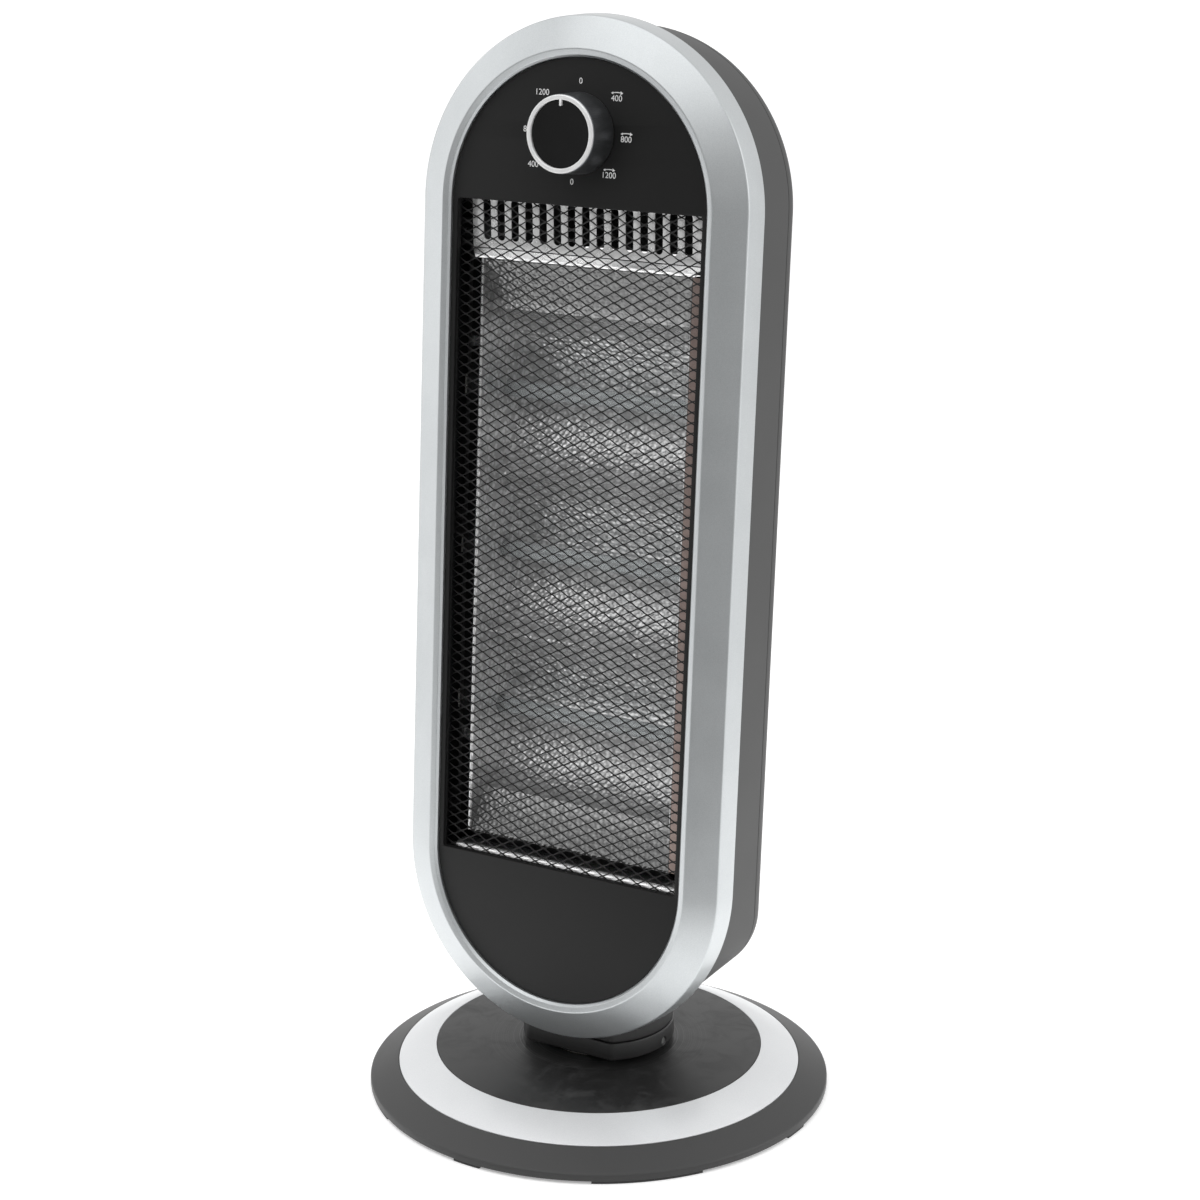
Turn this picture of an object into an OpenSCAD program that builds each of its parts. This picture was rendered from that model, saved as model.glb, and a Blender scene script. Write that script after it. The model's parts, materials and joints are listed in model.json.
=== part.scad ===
// Oscillating halogen heater with three lamps, on a round base.
// Z is up, the floor is at z = 0 and the origin is on the swing axis.
// The front faces -Y. The head leans back and is drawn in its own upright frame:
// x across, y from front to back, z up from the centre of its lower round end.

/* [Base] */
// Radius of the base at its rim
base_r = 140; // [134:1:160]
// Height of the foot pads
foot_h = 1.8; // [1.4:0.1:3]
// Height of the upright edge of the rim
rim_h = 4.4; // [4:0.2:8]
// Width of the dark slope outside the silver ring
slope_w = 17.7; // [16:0.1:22]
// Rise of the dark slope
slope_rise = 9.1; // [8.8:0.1:13]
// Width of the silver ring
ring_w = 23; // [16:1:28]
// Rise of the silver ring
ring_rise = 9.1; // [8.8:0.1:13]
// Rise of the black disc towards the neck
disc_rise = 3.2; // [2.8:0.1:8]
// Wall of the base mouldings
base_wall = 2.4; // [1.8:0.1:2.8]
// Thickness of the silver ring
ring_t = 1.5; // [1:0.1:1.8]
// Thickness of the bottom plate
floor_t = 2; // [1.6:0.1:2.4]
// Thickness of the steel weight
weight_t = 5; // [3:0.5:6]
// Width of the steel weight
weight_w = 46; // [20:1:50]

/* [Swing drive] */
// Distance from the swing axis to the motor shaft
motor_gap = 22; // [20:0.5:24]
// Radius of the crank pin's circle
crank_r = 12.6; // [11:0.1:13]
// Radius of the crank pin
crank_pin_r = 2.5; // [2:0.1:3]
// Side clearance of the crank pin in its slot
slot_slack = 0.9; // [0.85:0.05:1.5]
// Radius of the motor can
motor_r = 24.5; // [22:0.5:26]
// Height of the motor can
motor_h = 10; // [8:0.5:10.4]
// Outer radius of the swing hub
hub_r = 24; // [21:0.5:26]
// Wall of the swing hub
hub_wall = 5; // [4:0.5:7]
// Running clearance of turning parts
run_gap = 0.05; // [0.02:0.01:0.1]

/* [Tip switch] */
// Travel of the plunger under the base
plunger_travel = 4; // [2:0.5:4.5]
// Radius of the plunger
plunger_r = 3; // [2:0.25:4]
// Distance of the plunger from the swing axis
plunger_at = 54; // [50:1:60]

/* [Neck] */
// Radius of the neck
neck_r = 46; // [42:0.5:50]
// Distance from the axis to the collar's flat front
neck_flat = 35; // [33:0.5:37]
// Height of the collar
collar_h = 11; // [9:0.5:24]
// Wall of the collar
collar_wall = 2.4; // [1.8:0.1:3]

/* [Head] */
// Outer radius of the head's round ends
head_r = 106.6; // [102:0.2:115]
// Distance between the centres of the round ends
head_span = 383.1; // [360:0.5:440]
// Angle by which the head leans back
lean = 3.81; // [0:0.01:6]
// Distance of the lower centre in front of the axis
head_front = 35.5; // [32:0.5:40]
// Depth from the lip to the seam of the side shell
shell_d = 64.6; // [62:0.2:75]
// Depth of the rear cover behind the seam
cover_d = 35; // [30:0.5:45]
// Distance by which the rear cover rounds inwards
cover_round = 32; // [20:0.5:35]
// Wall of the head's shells
shell_wall = 2.2; // [1.6:0.1:2.6]
// Inward draft of the side shell over its depth
shell_draft = 3.2; // [1:0.1:5]

/* [Bezel and fascia] */
// Width of the bezel from its inner lip to its outer edge
bezel_w = 22.2; // [20:0.1:26]
// Width of the flat lip
lip_w = 3.5; // [2:0.1:5]
// Depth of the bezel's sloping face
face_drop = 7.9; // [4:0.1:9]
// Depth of the bezel's outer side
side_d = 16.4; // [14:0.1:18]
// Depth of the fascia below the lip
recess = 4.1; // [2:0.1:5]
// Thickness of the fascia
fascia_t = 2.5; // [2:0.1:3]
// Width of the fascia beside the window
strip_w = 3; // [2.6:0.1:12]
// Bottom of the window under the lower centre
window_drop = 2; // [0:0.5:20]
// Top of the window under the upper centre
window_gap = 0.1; // [0:0.1:10]

/* [Guard] */
// Width of one diamond of the guard
mesh_w = 30; // [24:0.5:40]
// Height of one diamond of the guard
mesh_h = 16.8; // [14:0.2:30]
// Width of a strand of the guard
strand = 1.3; // [0.8:0.1:2]
// Thickness of the guard
guard_t = 1.2; // [0.8:0.1:1.4]

/* [Reflector and lamps] */
// Depth of one trough
trough_d = 32.4; // [26:0.2:35]
// Height of the lowest ridge above the window's bottom
trough_up = 33; // [24:0.5:40]
// Height of the slotted strip
strip_h = 25.1; // [22:0.1:30]
// Height of the plain panel and slope under the strip
panel_h = 38; // [30:0.5:45]
// Distance of the ridges behind the guard's back
ridge_back = 22; // [18:0.5:24]
// Thickness of the reflector sheet
sheet_t = 0.8; // [0.6:0.1:1.2]
// Gap between the slotted strip and the side rails
side_gap = 7.6; // [6:0.2:9]
// Distance of the troughs' ends inside the strip's ends
end_in = 7; // [5:0.5:12]
// Radius of a lamp's quartz tube
tube_r = 5; // [4:0.25:6]
// Width of one slot
slot_w = 5; // [3:0.2:6]
// Spacing of the slots
slot_pitch = 9.45; // [7:0.05:10]

/* [Knob] */
// Radius of the knob at its foot
knob_r = 22.5; // [18:0.5:26]
// Height of the knob above the fascia
knob_h = 21; // [16:0.5:28]
// Height of the knob's axis above the upper centre
knob_up = 41.4; // [34:0.2:46]
// Radius of the knob's shaft
shaft_r = 3; // [2.5:0.1:4]

/* [Hidden] */
$fn = 96;

charcoal = [0.25, 0.26, 0.26];
black = [0.10, 0.10, 0.10];
dark_grey = [0.36, 0.36, 0.36];
silver = [0.78, 0.79, 0.80];
steel = [0.62, 0.63, 0.64];
bright = [0.85, 0.85, 0.84];
rubber = [0.14, 0.14, 0.14];
ceramic = [0.93, 0.91, 0.86];
quartz = [0.80, 0.85, 0.88];
nylon = [0.90, 0.89, 0.82];

lamps = 3;
eps = 0.01;
fit = 0.2;      // gap between pieces that are put together
seat = 0.3;     // gap between pieces that move past each other
cut = 1;        // overrun of a cutting tool

// Base levels and radii
rim_top = foot_h + rim_h;
ring_out = base_r - slope_w;
ring_in = ring_out - ring_w;
ring_z0 = rim_top + slope_rise;
ring_z1 = ring_z0 + ring_rise;
base_top = ring_z1 + disc_rise;
floor_top = foot_h + floor_t;
plate_r = base_r - base_wall - fit;
ledge_w = 6.5;
ledge_z = ring_z1 - base_wall;
boss_r = 4;
boss_at = base_r - base_wall - boss_r - 6.6;
screw_r = 1.5;
head_screw_r = 3;
head_screw_t = 1.2;
pad_w = 14;
pad_long = 27;      // degrees
pad_short = 7.3;    // degrees
pad_turn = -2.3;    // degrees
weight_out = boss_at - boss_r - 1;
weight_in = weight_out - weight_w;
weight_at = (weight_out + weight_in) / 2;
inlet_r = 3.8;
inlet_z = floor_top + inlet_r + fit;
inlet_wall = 1.8;
inlet_l = 13.5;
inlet_turn = 15;    // degrees from the middle of the back

// Tip switch levels
plunger_top = 10.2;
flange_t = 1.2;
guide_top = plunger_top - plunger_travel - 0.2;
switch_z = plunger_top + flange_t + 4.4;
switch_l = 20;
switch_h = 6.5;

// Swing drive levels, from the top down
disc_flat_r = neck_r + 2;
hub_boss_h = 3.5;
hub_boss_w = 6;
bush_t = 2.4;
lever_t = 1.5;
pin_h = 4.3;
crank_t = 2.2;
boss_bottom = base_top - hub_boss_h;
lever_top = boss_bottom - seat;
lever_z = lever_top - lever_t;
crank_top = lever_z - pin_h;
crank_z = crank_top - crank_t;
motor_top = crank_z - 1;
motor_z = motor_top - motor_h;
ear_x = motor_r + 5;
ear_t = 1;
hub_hole_r = hub_r - hub_wall;
lever_r = hub_r + hub_boss_w;
slot_r = crank_pin_r + slot_slack;
slot_in = motor_gap - crank_r;
slot_end = motor_gap + crank_r;

// Neck levels
washer_t = 3.4;
collar_z = base_top + washer_t + 0.1;
collar_top = collar_z + collar_h;
neck_z = collar_top + 0.3;
stub_r = neck_r - 0.4;
stub_flat = neck_flat - 0.6;
stub_h = 3.6;       // height of the stub under the bezel's lowest edge
hub_flange_t = 2;
neck_screw_r = 2;
neck_screw_x = hub_r - 3.5;
neck_screw_z = collar_z + collar_h * 0.3;

// Head frame and its planes, front to back
lip_y = -17.7;
fascia_y = lip_y + recess;
fascia_back = fascia_y + fascia_t;
ledge_t = 1.8;
guard_y = fascia_back + ledge_t + 0.1;
guard_back = guard_y + guard_t;
bezel_back = lip_y + 0.9 + face_drop + side_d;
shell_y = bezel_back - 4.5;
seam_y = lip_y + shell_d;
back_y = seam_y + cover_d;
head_drop = head_r * cos(lean) + bezel_back * sin(lean);
head_z = neck_z + stub_h + head_drop;

// Bezel and fascia radii
lip_r = head_r - bezel_w;
fascia_r = lip_r - 1.9;
window_x = fascia_r - strip_w;
window_z0 = -window_drop;
window_z1 = head_span - window_gap;
window_wall = 1.2;
skirt_r = head_r - 1.9;

// Shell outlines: the lower round end turns into a funnel over the neck
shell_r = skirt_r - 0.5;
seam_r = shell_r - shell_draft;
funnel_r = 40;
funnel_x = seam_r - funnel_r;
funnel_z = -25.8;
foot_r = 8;
foot_x = neck_r - 5.2;
foot_z = -(seam_r - 10.2);
cover_steps = 5;    // slices of the rear cover's rounding
top_sides = 40;     // sides of the shells' top arc
corner_sides = 6;
foot_sides = 3;

// Vents of the rear cover
vent_w = 4;
vent_l = 46;
vent_pitch = 11;
rear_seat = 5;      // depth of the rear screws' seats behind the seam

// Inner frame
ridge_y = guard_back + ridge_back;
trough_z = window_z0 + trough_up;
strip_z0 = window_z1 - strip_h;
strip_z1 = window_z1 + 3.5;
fold_z0 = window_z0 + 9;    // front folds under and over the troughs
fold_z1 = strip_z0 - 8;
crease_z = strip_z0 - 1.5;
crease_y = guard_back + 14.5;
trough_h = (strip_z0 - panel_h - trough_z) / lamps;
trough_r = (trough_h * trough_h / 4 + trough_d * trough_d) / trough_d / 2;
trough_back = ridge_y + trough_d;
trough_y = trough_back - trough_r;
lamp_y = trough_back - 17;
strip_x = window_x - 4;
refl_x = strip_x - end_in;
rail_x = strip_x + side_gap;
rail_t = 1.2;
rail_y0 = ridge_y - 4;
rail_y1 = seam_y - 1;
rail_z0 = window_z0;
rail_lip = 2.5;
rail_tab = 16;
boss_x = rail_x + rail_t + boss_r + 0.5;
boss_zs = [20, head_span / 2, head_span - 20];
rail_z1 = boss_zs[2] + rail_tab / 2;
lamp_zs = [for (i = [0 : lamps - 1]) trough_z + (i + 0.5) * trough_h];
tube_wall = 0.8;
tube_x = rail_x - 4;
cap_x = tube_x + 17;
cap_w = 11;
slots = floor((2 * strip_x - 4) / slot_pitch);
slot_z0 = strip_z0 + 2.8 + slot_w / 2;
slot_z1 = strip_z1 - slot_w / 2 - 2;
lip_roll = 4;
block_poles = 5;
block_pitch = 12;
block_d = 12;
block_h = 14;
trough_sides = 14;
end_y = guard_back + 6.4;    // front edge of the troughs' ends
tab_low = 31;
tab_high = 50;

// Knob
knob_z = head_span + knob_up;
knob_ring_w = 3;
knob_top_r = knob_r - 1;
insert_drop = 1.4;
nut_r = 7;
nut_t = 2.4;
bush_r = 5;
switch_w = 30;
switch_d = 20;

// ---- helpers ----

function unit(v) = v / norm(v);

// Arc that replaces the corner b of the path a-b-c
function corner(a, b, c, r, n = 4) =
    let (u = unit(a - b), w = unit(c - b), half = acos(u * w) / 2,
        mid = b + unit(u + w) * r / sin(half),
        from = unit(b + u * r / tan(half) - mid),
        to = unit(b + w * r / tan(half) - mid))
    [for (i = [0 : n]) mid + r * unit(from * (1 - i / n) + to * (i / n))];

// Closed outline whose corners have the radii given with them
function softened(pts, radii) =
    let (n = len(pts))
    [for (i = [0 : n - 1]) each radii[i] > 0
        ? corner(pts[(i + n - 1) % n], pts[i], pts[(i + 1) % n], radii[i])
        : [pts[i]]];

module at(r, a) {
    rotate(a) translate([r, 0, 0]) children();
}

module ring(r_out, r_in, z0, z1) {
    translate([0, 0, z0]) difference() {
        cylinder(r = r_out, h = z1 - z0);
        translate([0, 0, -cut]) cylinder(r = r_in, h = z1 - z0 + 2 * cut);
    }
}

// Screw along +Z: its head's outer face is at z = 0
module screw(len, r = screw_r, head_r = head_screw_r, head_t = head_screw_t) {
    difference() {
        cylinder(r = head_r, h = head_t);
        translate([-head_r * 0.7, -0.3, -eps]) cube([head_r * 1.4, 0.6, head_t * 0.5]);
        translate([-0.3, -head_r * 0.7, -eps]) cube([0.6, head_r * 1.4, head_t * 0.5]);
    }
    translate([0, 0, head_t]) cylinder(r = r, h = len - head_t);
}

// Moves the head's own frame to its place on the neck
module in_head() {
    translate([0, -head_front, head_z]) rotate([-lean, 0, 0]) children();
}

// Extrudes an (x, z) outline from y0 to y1
module panel(y0, y1) {
    translate([0, y1, 0]) rotate([90, 0, 0]) linear_extrude(y1 - y0) children();
}

// Extrudes a (y, z) outline across the head
module across(w) {
    rotate([90, 0, 90]) linear_extrude(w, center = true) children();
}

module both_sides() {
    children();
    mirror([1, 0, 0]) children();
}

module stadium(r) {
    circle(r);
    translate([0, head_span]) circle(r);
    translate([-r, 0]) square([2 * r, head_span]);
}

// Sweeps a (radius, y) profile once round the stadium
module stadium_sweep() {
    rotate([-90, 0, 0]) rotate_extrude(angle = 180) children();
    translate([0, 0, head_span]) rotate([-90, 0, 0]) rotate(180)
        rotate_extrude(angle = 180) children();
    both_sides() linear_extrude(head_span) children();
}

module rounded_slot(w, z0, z1) {
    translate([-w / 2, z0]) square([w, z1 - z0]);
    translate([0, z0]) circle(w / 2);
    translate([0, z1]) circle(w / 2);
}

// ---- base ----

module base_cover_profile() {
    groove_out = ring_out + 0.1;
    groove_d = ring_t + 0.1;
    polygon(softened([
        [base_r, foot_h],
        [base_r, rim_top],
        [groove_out, ring_z0],
        [groove_out, ring_z0 - groove_d],
        [ring_in, ring_z1 - groove_d],
        [ring_in, ledge_z],
        [ring_in - ledge_w, ledge_z],
        [ring_in - ledge_w, ledge_z - base_wall],
        [ring_in, ledge_z - base_wall],
        [ring_out, ring_z0 - ring_t - base_wall],
        [base_r - base_wall, rim_top - 1],
        [base_r - base_wall, foot_h]
    ], [0.5, 0.8, 0.25, 0, 0, 0, 0, 0, 0, 0, 0, 0]));
}

// Everything under the cover's outer slope
module under_slope() {
    rotate_extrude() polygon([[0, 0], [base_r - 1, 0], [base_r - 1, rim_top - 1],
        [ring_out, ring_z0 - ring_t - 1], [0, ring_z0 - ring_t - 1]]);
}

module base_cover() {
    color(charcoal) difference() {
        union() {
            rotate_extrude() base_cover_profile();
            intersection() {
                for (i = [0 : 3]) at(boss_at, 22.5 + 90 * i) translate([0, 0, floor_top])
                    cylinder(r = boss_r, h = ring_z0);
                under_slope();
            }
            // Hump round the cord inlet
            rotate(inlet_turn) intersection() {
                translate([0, base_r - 0.5 - inlet_l, inlet_z]) rotate([-90, 0, 0])
                    cylinder(r = inlet_r + inlet_wall, h = inlet_l);
                translate([-base_r, 0, floor_top + fit]) cube([2 * base_r, 2 * base_r, ring_z0]);
            }
        }
        for (i = [0 : 3]) at(boss_at, 22.5 + 90 * i)
            cylinder(r = screw_r, h = floor_top + 4.5);
        rotate(inlet_turn) translate([0, base_r - 2 - inlet_l, inlet_z]) rotate([-90, 0, 0])
            cylinder(r = inlet_r, h = inlet_l + 3);
    }
}

module base_ring() {
    in = ring_in + 0.1;
    color(silver) rotate_extrude() polygon(softened([
        [ring_out, ring_z0 - ring_t],
        [ring_out, ring_z0],
        [in, ring_z1],
        [in, ring_z1 - ring_t]
    ], [0, 0.4, 0.4, 0]));
}

module base_disc() {
    rim = ring_in - 0.1;
    hole = hub_r + run_gap + bush_t;
    color(black) {
        rotate_extrude() polygon(softened([
            [rim, ledge_z],
            [rim, ring_z1],
            [disc_flat_r, base_top],
            [hole, base_top],
            [hole, boss_bottom],
            [hole + 4, boss_bottom],
            [hole + 4, base_top - base_wall],
            [disc_flat_r, base_top - base_wall],
            [rim - 4, ledge_z]
        ], [0, 0.5, 0, 0, 0, 0, 0, 0, 0]));
        // Snap hooks under the cover's ledge
        for (i = [0 : 3]) rotate(45 + 90 * i)
            translate([0, 0, ledge_z - base_wall - 1.6]) {
                translate([ring_in - ledge_w - 1.8, -5, 0]) cube([1.6, 10, base_wall + 2.8]);
                translate([ring_in - ledge_w - 0.4, -5, 0]) cube([1.8, 10, 1.3]);
            }
    }
}

module bottom_plate() {
    post_r = 3.5;
    color(black) difference() {
        union() {
            translate([0, 0, foot_h]) cylinder(r = plate_r, h = floor_t);
            // Pad and screw posts of the motor
            translate([0, motor_gap, foot_h]) {
                cylinder(r = motor_r - 4, h = motor_z - foot_h);
                for (s = [-1, 1]) translate([s * ear_x, 0, 0])
                    cylinder(r = post_r, h = motor_top - ear_t - foot_h);
            }
            // Guide of the plunger
            translate([-plunger_at, 0, foot_h]) cylinder(r = plunger_r + 2.4, h = guide_top - foot_h);
            // Cradle of the switch
            for (s = [-1, 1]) translate([-plunger_at, s * (switch_l / 2 + 1.6), foot_h]) {
                translate([-5, -1.5, 0]) cube([10, 3, switch_z + 4 - foot_h]);
                translate([-5, s > 0 ? -3.4 : 1.4, 0]) cube([10, 2, switch_z - foot_h]);
            }
        }
        for (i = [0 : 3]) at(boss_at, 22.5 + 90 * i) {
            cylinder(r = screw_r + 0.15, h = floor_top + cut);
            cylinder(r = head_screw_r + 0.2, h = foot_h + head_screw_t);
        }
        for (s = [-1, 1]) translate([s * ear_x, motor_gap, floor_top])
            cylinder(r = screw_r, h = motor_top);
        for (i = [0 : 2]) at(weight_at, 30 + 120 * i) cylinder(r = screw_r, h = floor_top + cut);
        translate([-plunger_at, 0, 0]) cylinder(r = plunger_r + run_gap, h = guide_top + cut);
    }
}

module foot_pad(a, span) {
    rotate(a - span / 2) rotate_extrude(angle = span) polygon(softened([
        [base_r - 0.5, foot_h],
        [base_r - 0.5 - pad_w, foot_h],
        [base_r - 0.5 - pad_w, 0],
        [base_r - 0.5, 0]
    ], [0, 0, 0.4, 0.4]));
}

module foot_pads() {
    color(rubber) for (i = [0 : 3]) {
        foot_pad(45 + 90 * i + pad_turn, pad_long);
        foot_pad(90 * i + pad_turn, pad_short);
    }
}

module base_screws() {
    color(steel) for (i = [0 : 3]) at(boss_at, 22.5 + 90 * i)
        translate([0, 0, foot_h]) screw(floor_t + 4);
}

module base_weight() {
    color(dark_grey) difference() {
        ring(weight_out, weight_in, floor_top, floor_top + weight_t);
        for (i = [0 : 2]) at(weight_at, 30 + 120 * i) cylinder(r = screw_r + 0.1, h = 30);
        // Room for the cord inside the inlet
        rotate(inlet_turn) translate([-inlet_r - 2, weight_in - cut, floor_top - cut])
            cube([2 * inlet_r + 4, weight_w + 2 * cut, weight_t + 2 * cut]);
    }
}

module weight_screws() {
    color(steel) for (i = [0 : 2]) at(weight_at, 30 + 120 * i)
        translate([0, 0, floor_top + weight_t + head_screw_t]) mirror([0, 0, 1])
            screw(weight_t + head_screw_t + floor_t - 0.6);
}

module cord_inlet() {
    color(rubber) rotate(inlet_turn) translate([0, base_r - 0.5 - inlet_l, inlet_z])
        rotate([-90, 0, 0]) difference() {
            cylinder(r = inlet_r - 0.05, h = inlet_l);
            translate([0, 0, -cut]) cylinder(r = inlet_r - 1, h = inlet_l + 2 * cut);
        }
}

module swing_motor() {
    color(steel) difference() {
        translate([0, motor_gap, motor_z]) {
            cylinder(r = motor_r, h = motor_h);
            translate([0, 0, motor_h - ear_t]) {
                translate([-ear_x, -4, 0]) cube([2 * ear_x, 8, ear_t]);
                for (s = [-1, 1]) translate([s * ear_x, 0, 0]) cylinder(r = 4, h = ear_t);
            }
        }
        for (s = [-1, 1]) translate([s * ear_x, motor_gap, 0])
            cylinder(r = screw_r + 0.1, h = motor_top + cut);
        translate([0, motor_gap, motor_top - 5]) cylinder(r = shaft_r + run_gap, h = 5 + cut);
    }
}

module motor_screws() {
    color(steel) for (s = [-1, 1])
        translate([s * ear_x, motor_gap, motor_top + head_screw_t]) mirror([0, 0, 1])
            screw(7);
}

module tip_switch() {
    color(black) translate([-plunger_at, 0, switch_z]) {
        translate([-4.9, -switch_l / 2, 0]) cube([9.8, switch_l, switch_h]);
        translate([0, 0, -0.6]) cylinder(r = 1.6, h = 0.6);
    }
}

module plunger() {
    color(nylon) translate([-plunger_at, 0, 0]) {
        rotate_extrude() polygon(softened([
            [0, 0],
            [plunger_r, 0],
            [plunger_r, plunger_top],
            [plunger_r + 1.9, plunger_top],
            [plunger_r + 1.9, plunger_top + flange_t],
            [1.5, plunger_top + flange_t],
            [1.5, switch_z - 0.6 - seat],
            [0, switch_z - 0.6 - seat]
        ], [0, 0.8, 0, 0, 0, 0, 0, 0]));
    }
}

// Tube of radius w round a helix of radius r
module coil(r, w, z0, z1, turns, sides = 6, rings = 10) {
    n = turns * rings;
    pts = [for (i = [0 : n]) let (a = 360 * i / rings, z = z0 + (z1 - z0) * i / n)
        for (k = [0 : sides - 1]) let (b = 360 * k / sides)
            [(r + w * cos(b)) * cos(a), (r + w * cos(b)) * sin(a), z + w * sin(b)]];
    walls = [for (i = [0 : n - 1], k = [0 : sides - 1])
        let (a = i * sides + k, b = i * sides + (k + 1) % sides)
        each [[a, a + sides, b], [b, a + sides, b + sides]]];
    polyhedron(pts, concat([[for (k = [0 : sides - 1]) k]], walls,
        [[for (k = [sides - 1 : -1 : 0]) n * sides + k]]));
}

module plunger_spring() {
    wire = 0.35;
    color(steel) translate([-plunger_at, 0, 0])
        coil(plunger_r, wire, plunger_top + flange_t + wire, switch_z - wire, 4);
}

module crank() {
    color(nylon) translate([0, motor_gap, 0]) {
        translate([0, 0, crank_z]) cylinder(r = crank_r + crank_pin_r + 1.4, h = crank_t);
        translate([0, 0, motor_top - 4]) cylinder(r = shaft_r, h = crank_z - motor_top + 4 + eps);
        translate([0, crank_r, crank_top - eps])
            cylinder(r = crank_pin_r, h = pin_h + lever_t - seat + eps);
    }
}

// ---- neck ----

module hub_bush() {
    color(nylon) ring(hub_r + run_gap + bush_t, hub_r + run_gap, boss_bottom, base_top);
}

module slide_washer() {
    color(nylon) ring(hub_r + 5, hub_r + 0.6, base_top, base_top + washer_t);
}

module swing_hub() {
    color(charcoal) difference() {
        union() {
            translate([0, 0, lever_top]) cylinder(r = hub_r, h = neck_z - lever_top + eps);
            intersection() {
                translate([0, 0, neck_z]) cylinder(r = stub_r - shell_wall - fit, h = hub_flange_t);
                translate([-neck_r, -stub_flat + shell_wall + fit, neck_z])
                    cube([2 * neck_r, 3 * neck_r, hub_flange_t]);
            }
        }
        translate([0, 0, lever_top - cut]) cylinder(r = hub_hole_r, h = neck_z + 20);
        for (i = [0 : 2]) at(hub_r - hub_wall / 2, 180 + 90 * i)
            translate([0, 0, lever_top - cut]) cylinder(r = 1.2, h = 6 + cut);
        both_sides() translate([neck_screw_x - 0.2, 0, neck_screw_z]) rotate([0, 90, 0])
            cylinder(r = neck_screw_r, h = 5);
    }
}

module swing_lever() {
    bar_w = 2 * slot_r + 8;
    color(steel) difference() {
        translate([0, 0, lever_z]) linear_extrude(lever_t) difference() {
            union() {
                difference() {
                    circle(lever_r);
                    circle(hub_hole_r);
                }
                translate([-bar_w / 2, slot_in - slot_r - 4])
                    square([bar_w, slot_end - slot_in + slot_r + 4]);
                translate([0, slot_end]) circle(bar_w / 2);
            }
            rounded_slot(2 * slot_r, slot_in, slot_end);
        }
        for (i = [0 : 2]) at(hub_r - hub_wall / 2, 180 + 90 * i)
            translate([0, 0, lever_z - cut]) cylinder(r = 1.3, h = lever_t + 2 * cut);
    }
}

module lever_screws() {
    color(steel) for (i = [0 : 2]) at(hub_r - hub_wall / 2, 180 + 90 * i)
        translate([0, 0, lever_z - 1]) screw(1 + lever_t + 5, 1.2, 2.2, 1);
}

// Round neck outline with a flat front
module neck_outline(r, flat) {
    intersection() {
        circle(r);
        translate([-r, -flat]) square([2 * r, flat + r]);
    }
}

module neck_collar() {
    color(black) difference() {
        translate([0, 0, collar_z]) linear_extrude(collar_h) neck_outline(neck_r, neck_flat);
        translate([0, 0, collar_z - cut]) linear_extrude(collar_h - 3 + cut) difference() {
            neck_outline(neck_r - collar_wall, neck_flat - collar_wall);
            circle(hub_r + 3);
        }
        translate([0, 0, collar_z - cut]) cylinder(r = hub_r, h = collar_h + 2 * cut);
        both_sides() translate([hub_r - cut, 0, neck_screw_z]) rotate([0, 90, 0])
            cylinder(r = neck_screw_r, h = neck_r);
    }
}

module collar_screws() {
    color(steel) both_sides() translate([neck_r - 0.8, 0, neck_screw_z])
        rotate([0, -90, 0]) cylinder(r = neck_screw_r, h = neck_r - 0.8 - neck_screw_x);
}

// ---- head shells ----

// Arc in the (x, z) plane on the plane y
function arc(x, z, r, a0, a1, n, y) =
    [for (i = [0 : n]) let (a = a0 + (a1 - a0) * i / n) [x + r * cos(a), y, z + r * sin(a)]];

// Round-ended outline of the shells where they meet the bezel
function front_ring(t, y) = concat(
    arc(0, head_span, shell_r - t, 0, 180, top_sides, y),
    arc(0, 0, shell_r - t, 180, 225, corner_sides, y),
    arc(0, 0, shell_r - t, 225, 270, foot_sides, y),
    arc(0, 0, shell_r - t, 270, 315, foot_sides, y),
    arc(0, 0, shell_r - t, 315, 360, corner_sides, y));

// Outline that runs down into the neck, drawn in by t and by the rounding o
function rear_ring(t, o, y) =
    let (r = seam_r - t - o, rc = funnel_r - t - o, rf = foot_r - t - 0.15 * o)
    concat(
    arc(0, head_span, r, 0, 180, top_sides, y),
    arc(-funnel_x, funnel_z, rc, 180, 225, corner_sides, y),
    arc(-foot_x + 0.3 * o, foot_z, rf, 225, 270, foot_sides, y),
    arc(foot_x - 0.3 * o, foot_z, rf, 270, 315, foot_sides, y),
    arc(funnel_x, funnel_z, rc, 315, 360, corner_sides, y));

// Rings joined in a loop to a tube with a wall
module loft(rings) {
    n = len(rings[0]);
    m = len(rings);
    walls = [for (j = [0 : m - 1], i = [0 : n - 1])
        let (a = j * n, b = ((j + 1) % m) * n, k = (i + 1) % n)
        each [[a + i, a + k, b + i], [b + i, a + k, b + k]]];
    polyhedron([for (r = rings) each r], walls);
}

// Cup with a closed back: outer rings from rim to back, inner rings from back to rim
module shell_cup(outer, inner) {
    n = len(outer[0]);
    rings = concat(outer, inner);
    m = len(rings);
    k = len(outer) - 1;
    walls = [for (j = [0 : m - 1], i = [0 : n - 1]) if (j != k)
        let (a = j * n, b = ((j + 1) % m) * n, c = (i + 1) % n)
        each [[a + i, a + c, b + i], [b + i, a + c, b + c]]];
    polyhedron([for (r = rings) each r], concat(walls,
        [[for (i = [0 : n - 1]) k * n + i], [for (i = [n - 1 : -1 : 0]) (k + 1) * n + i]]));
}

// Space round the head's lower end, in front of the seam or behind it
module at_seam(front) {
    w = 2 * head_r;
    translate([-w / 2, front ? seam_y - w : seam_y + eps, foot_z - foot_r + 1 - w])
        cube([w, w, w]);
}

// Lower end of a shell: half of the round neck stub
module neck_stub(front) {
    intersection() {
        translate([0, 0, neck_z]) linear_extrude(stub_h + 15) difference() {
            neck_outline(stub_r, stub_flat);
            neck_outline(stub_r - shell_wall, stub_flat - shell_wall);
        }
        in_head() at_seam(front);
    }
}

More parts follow.
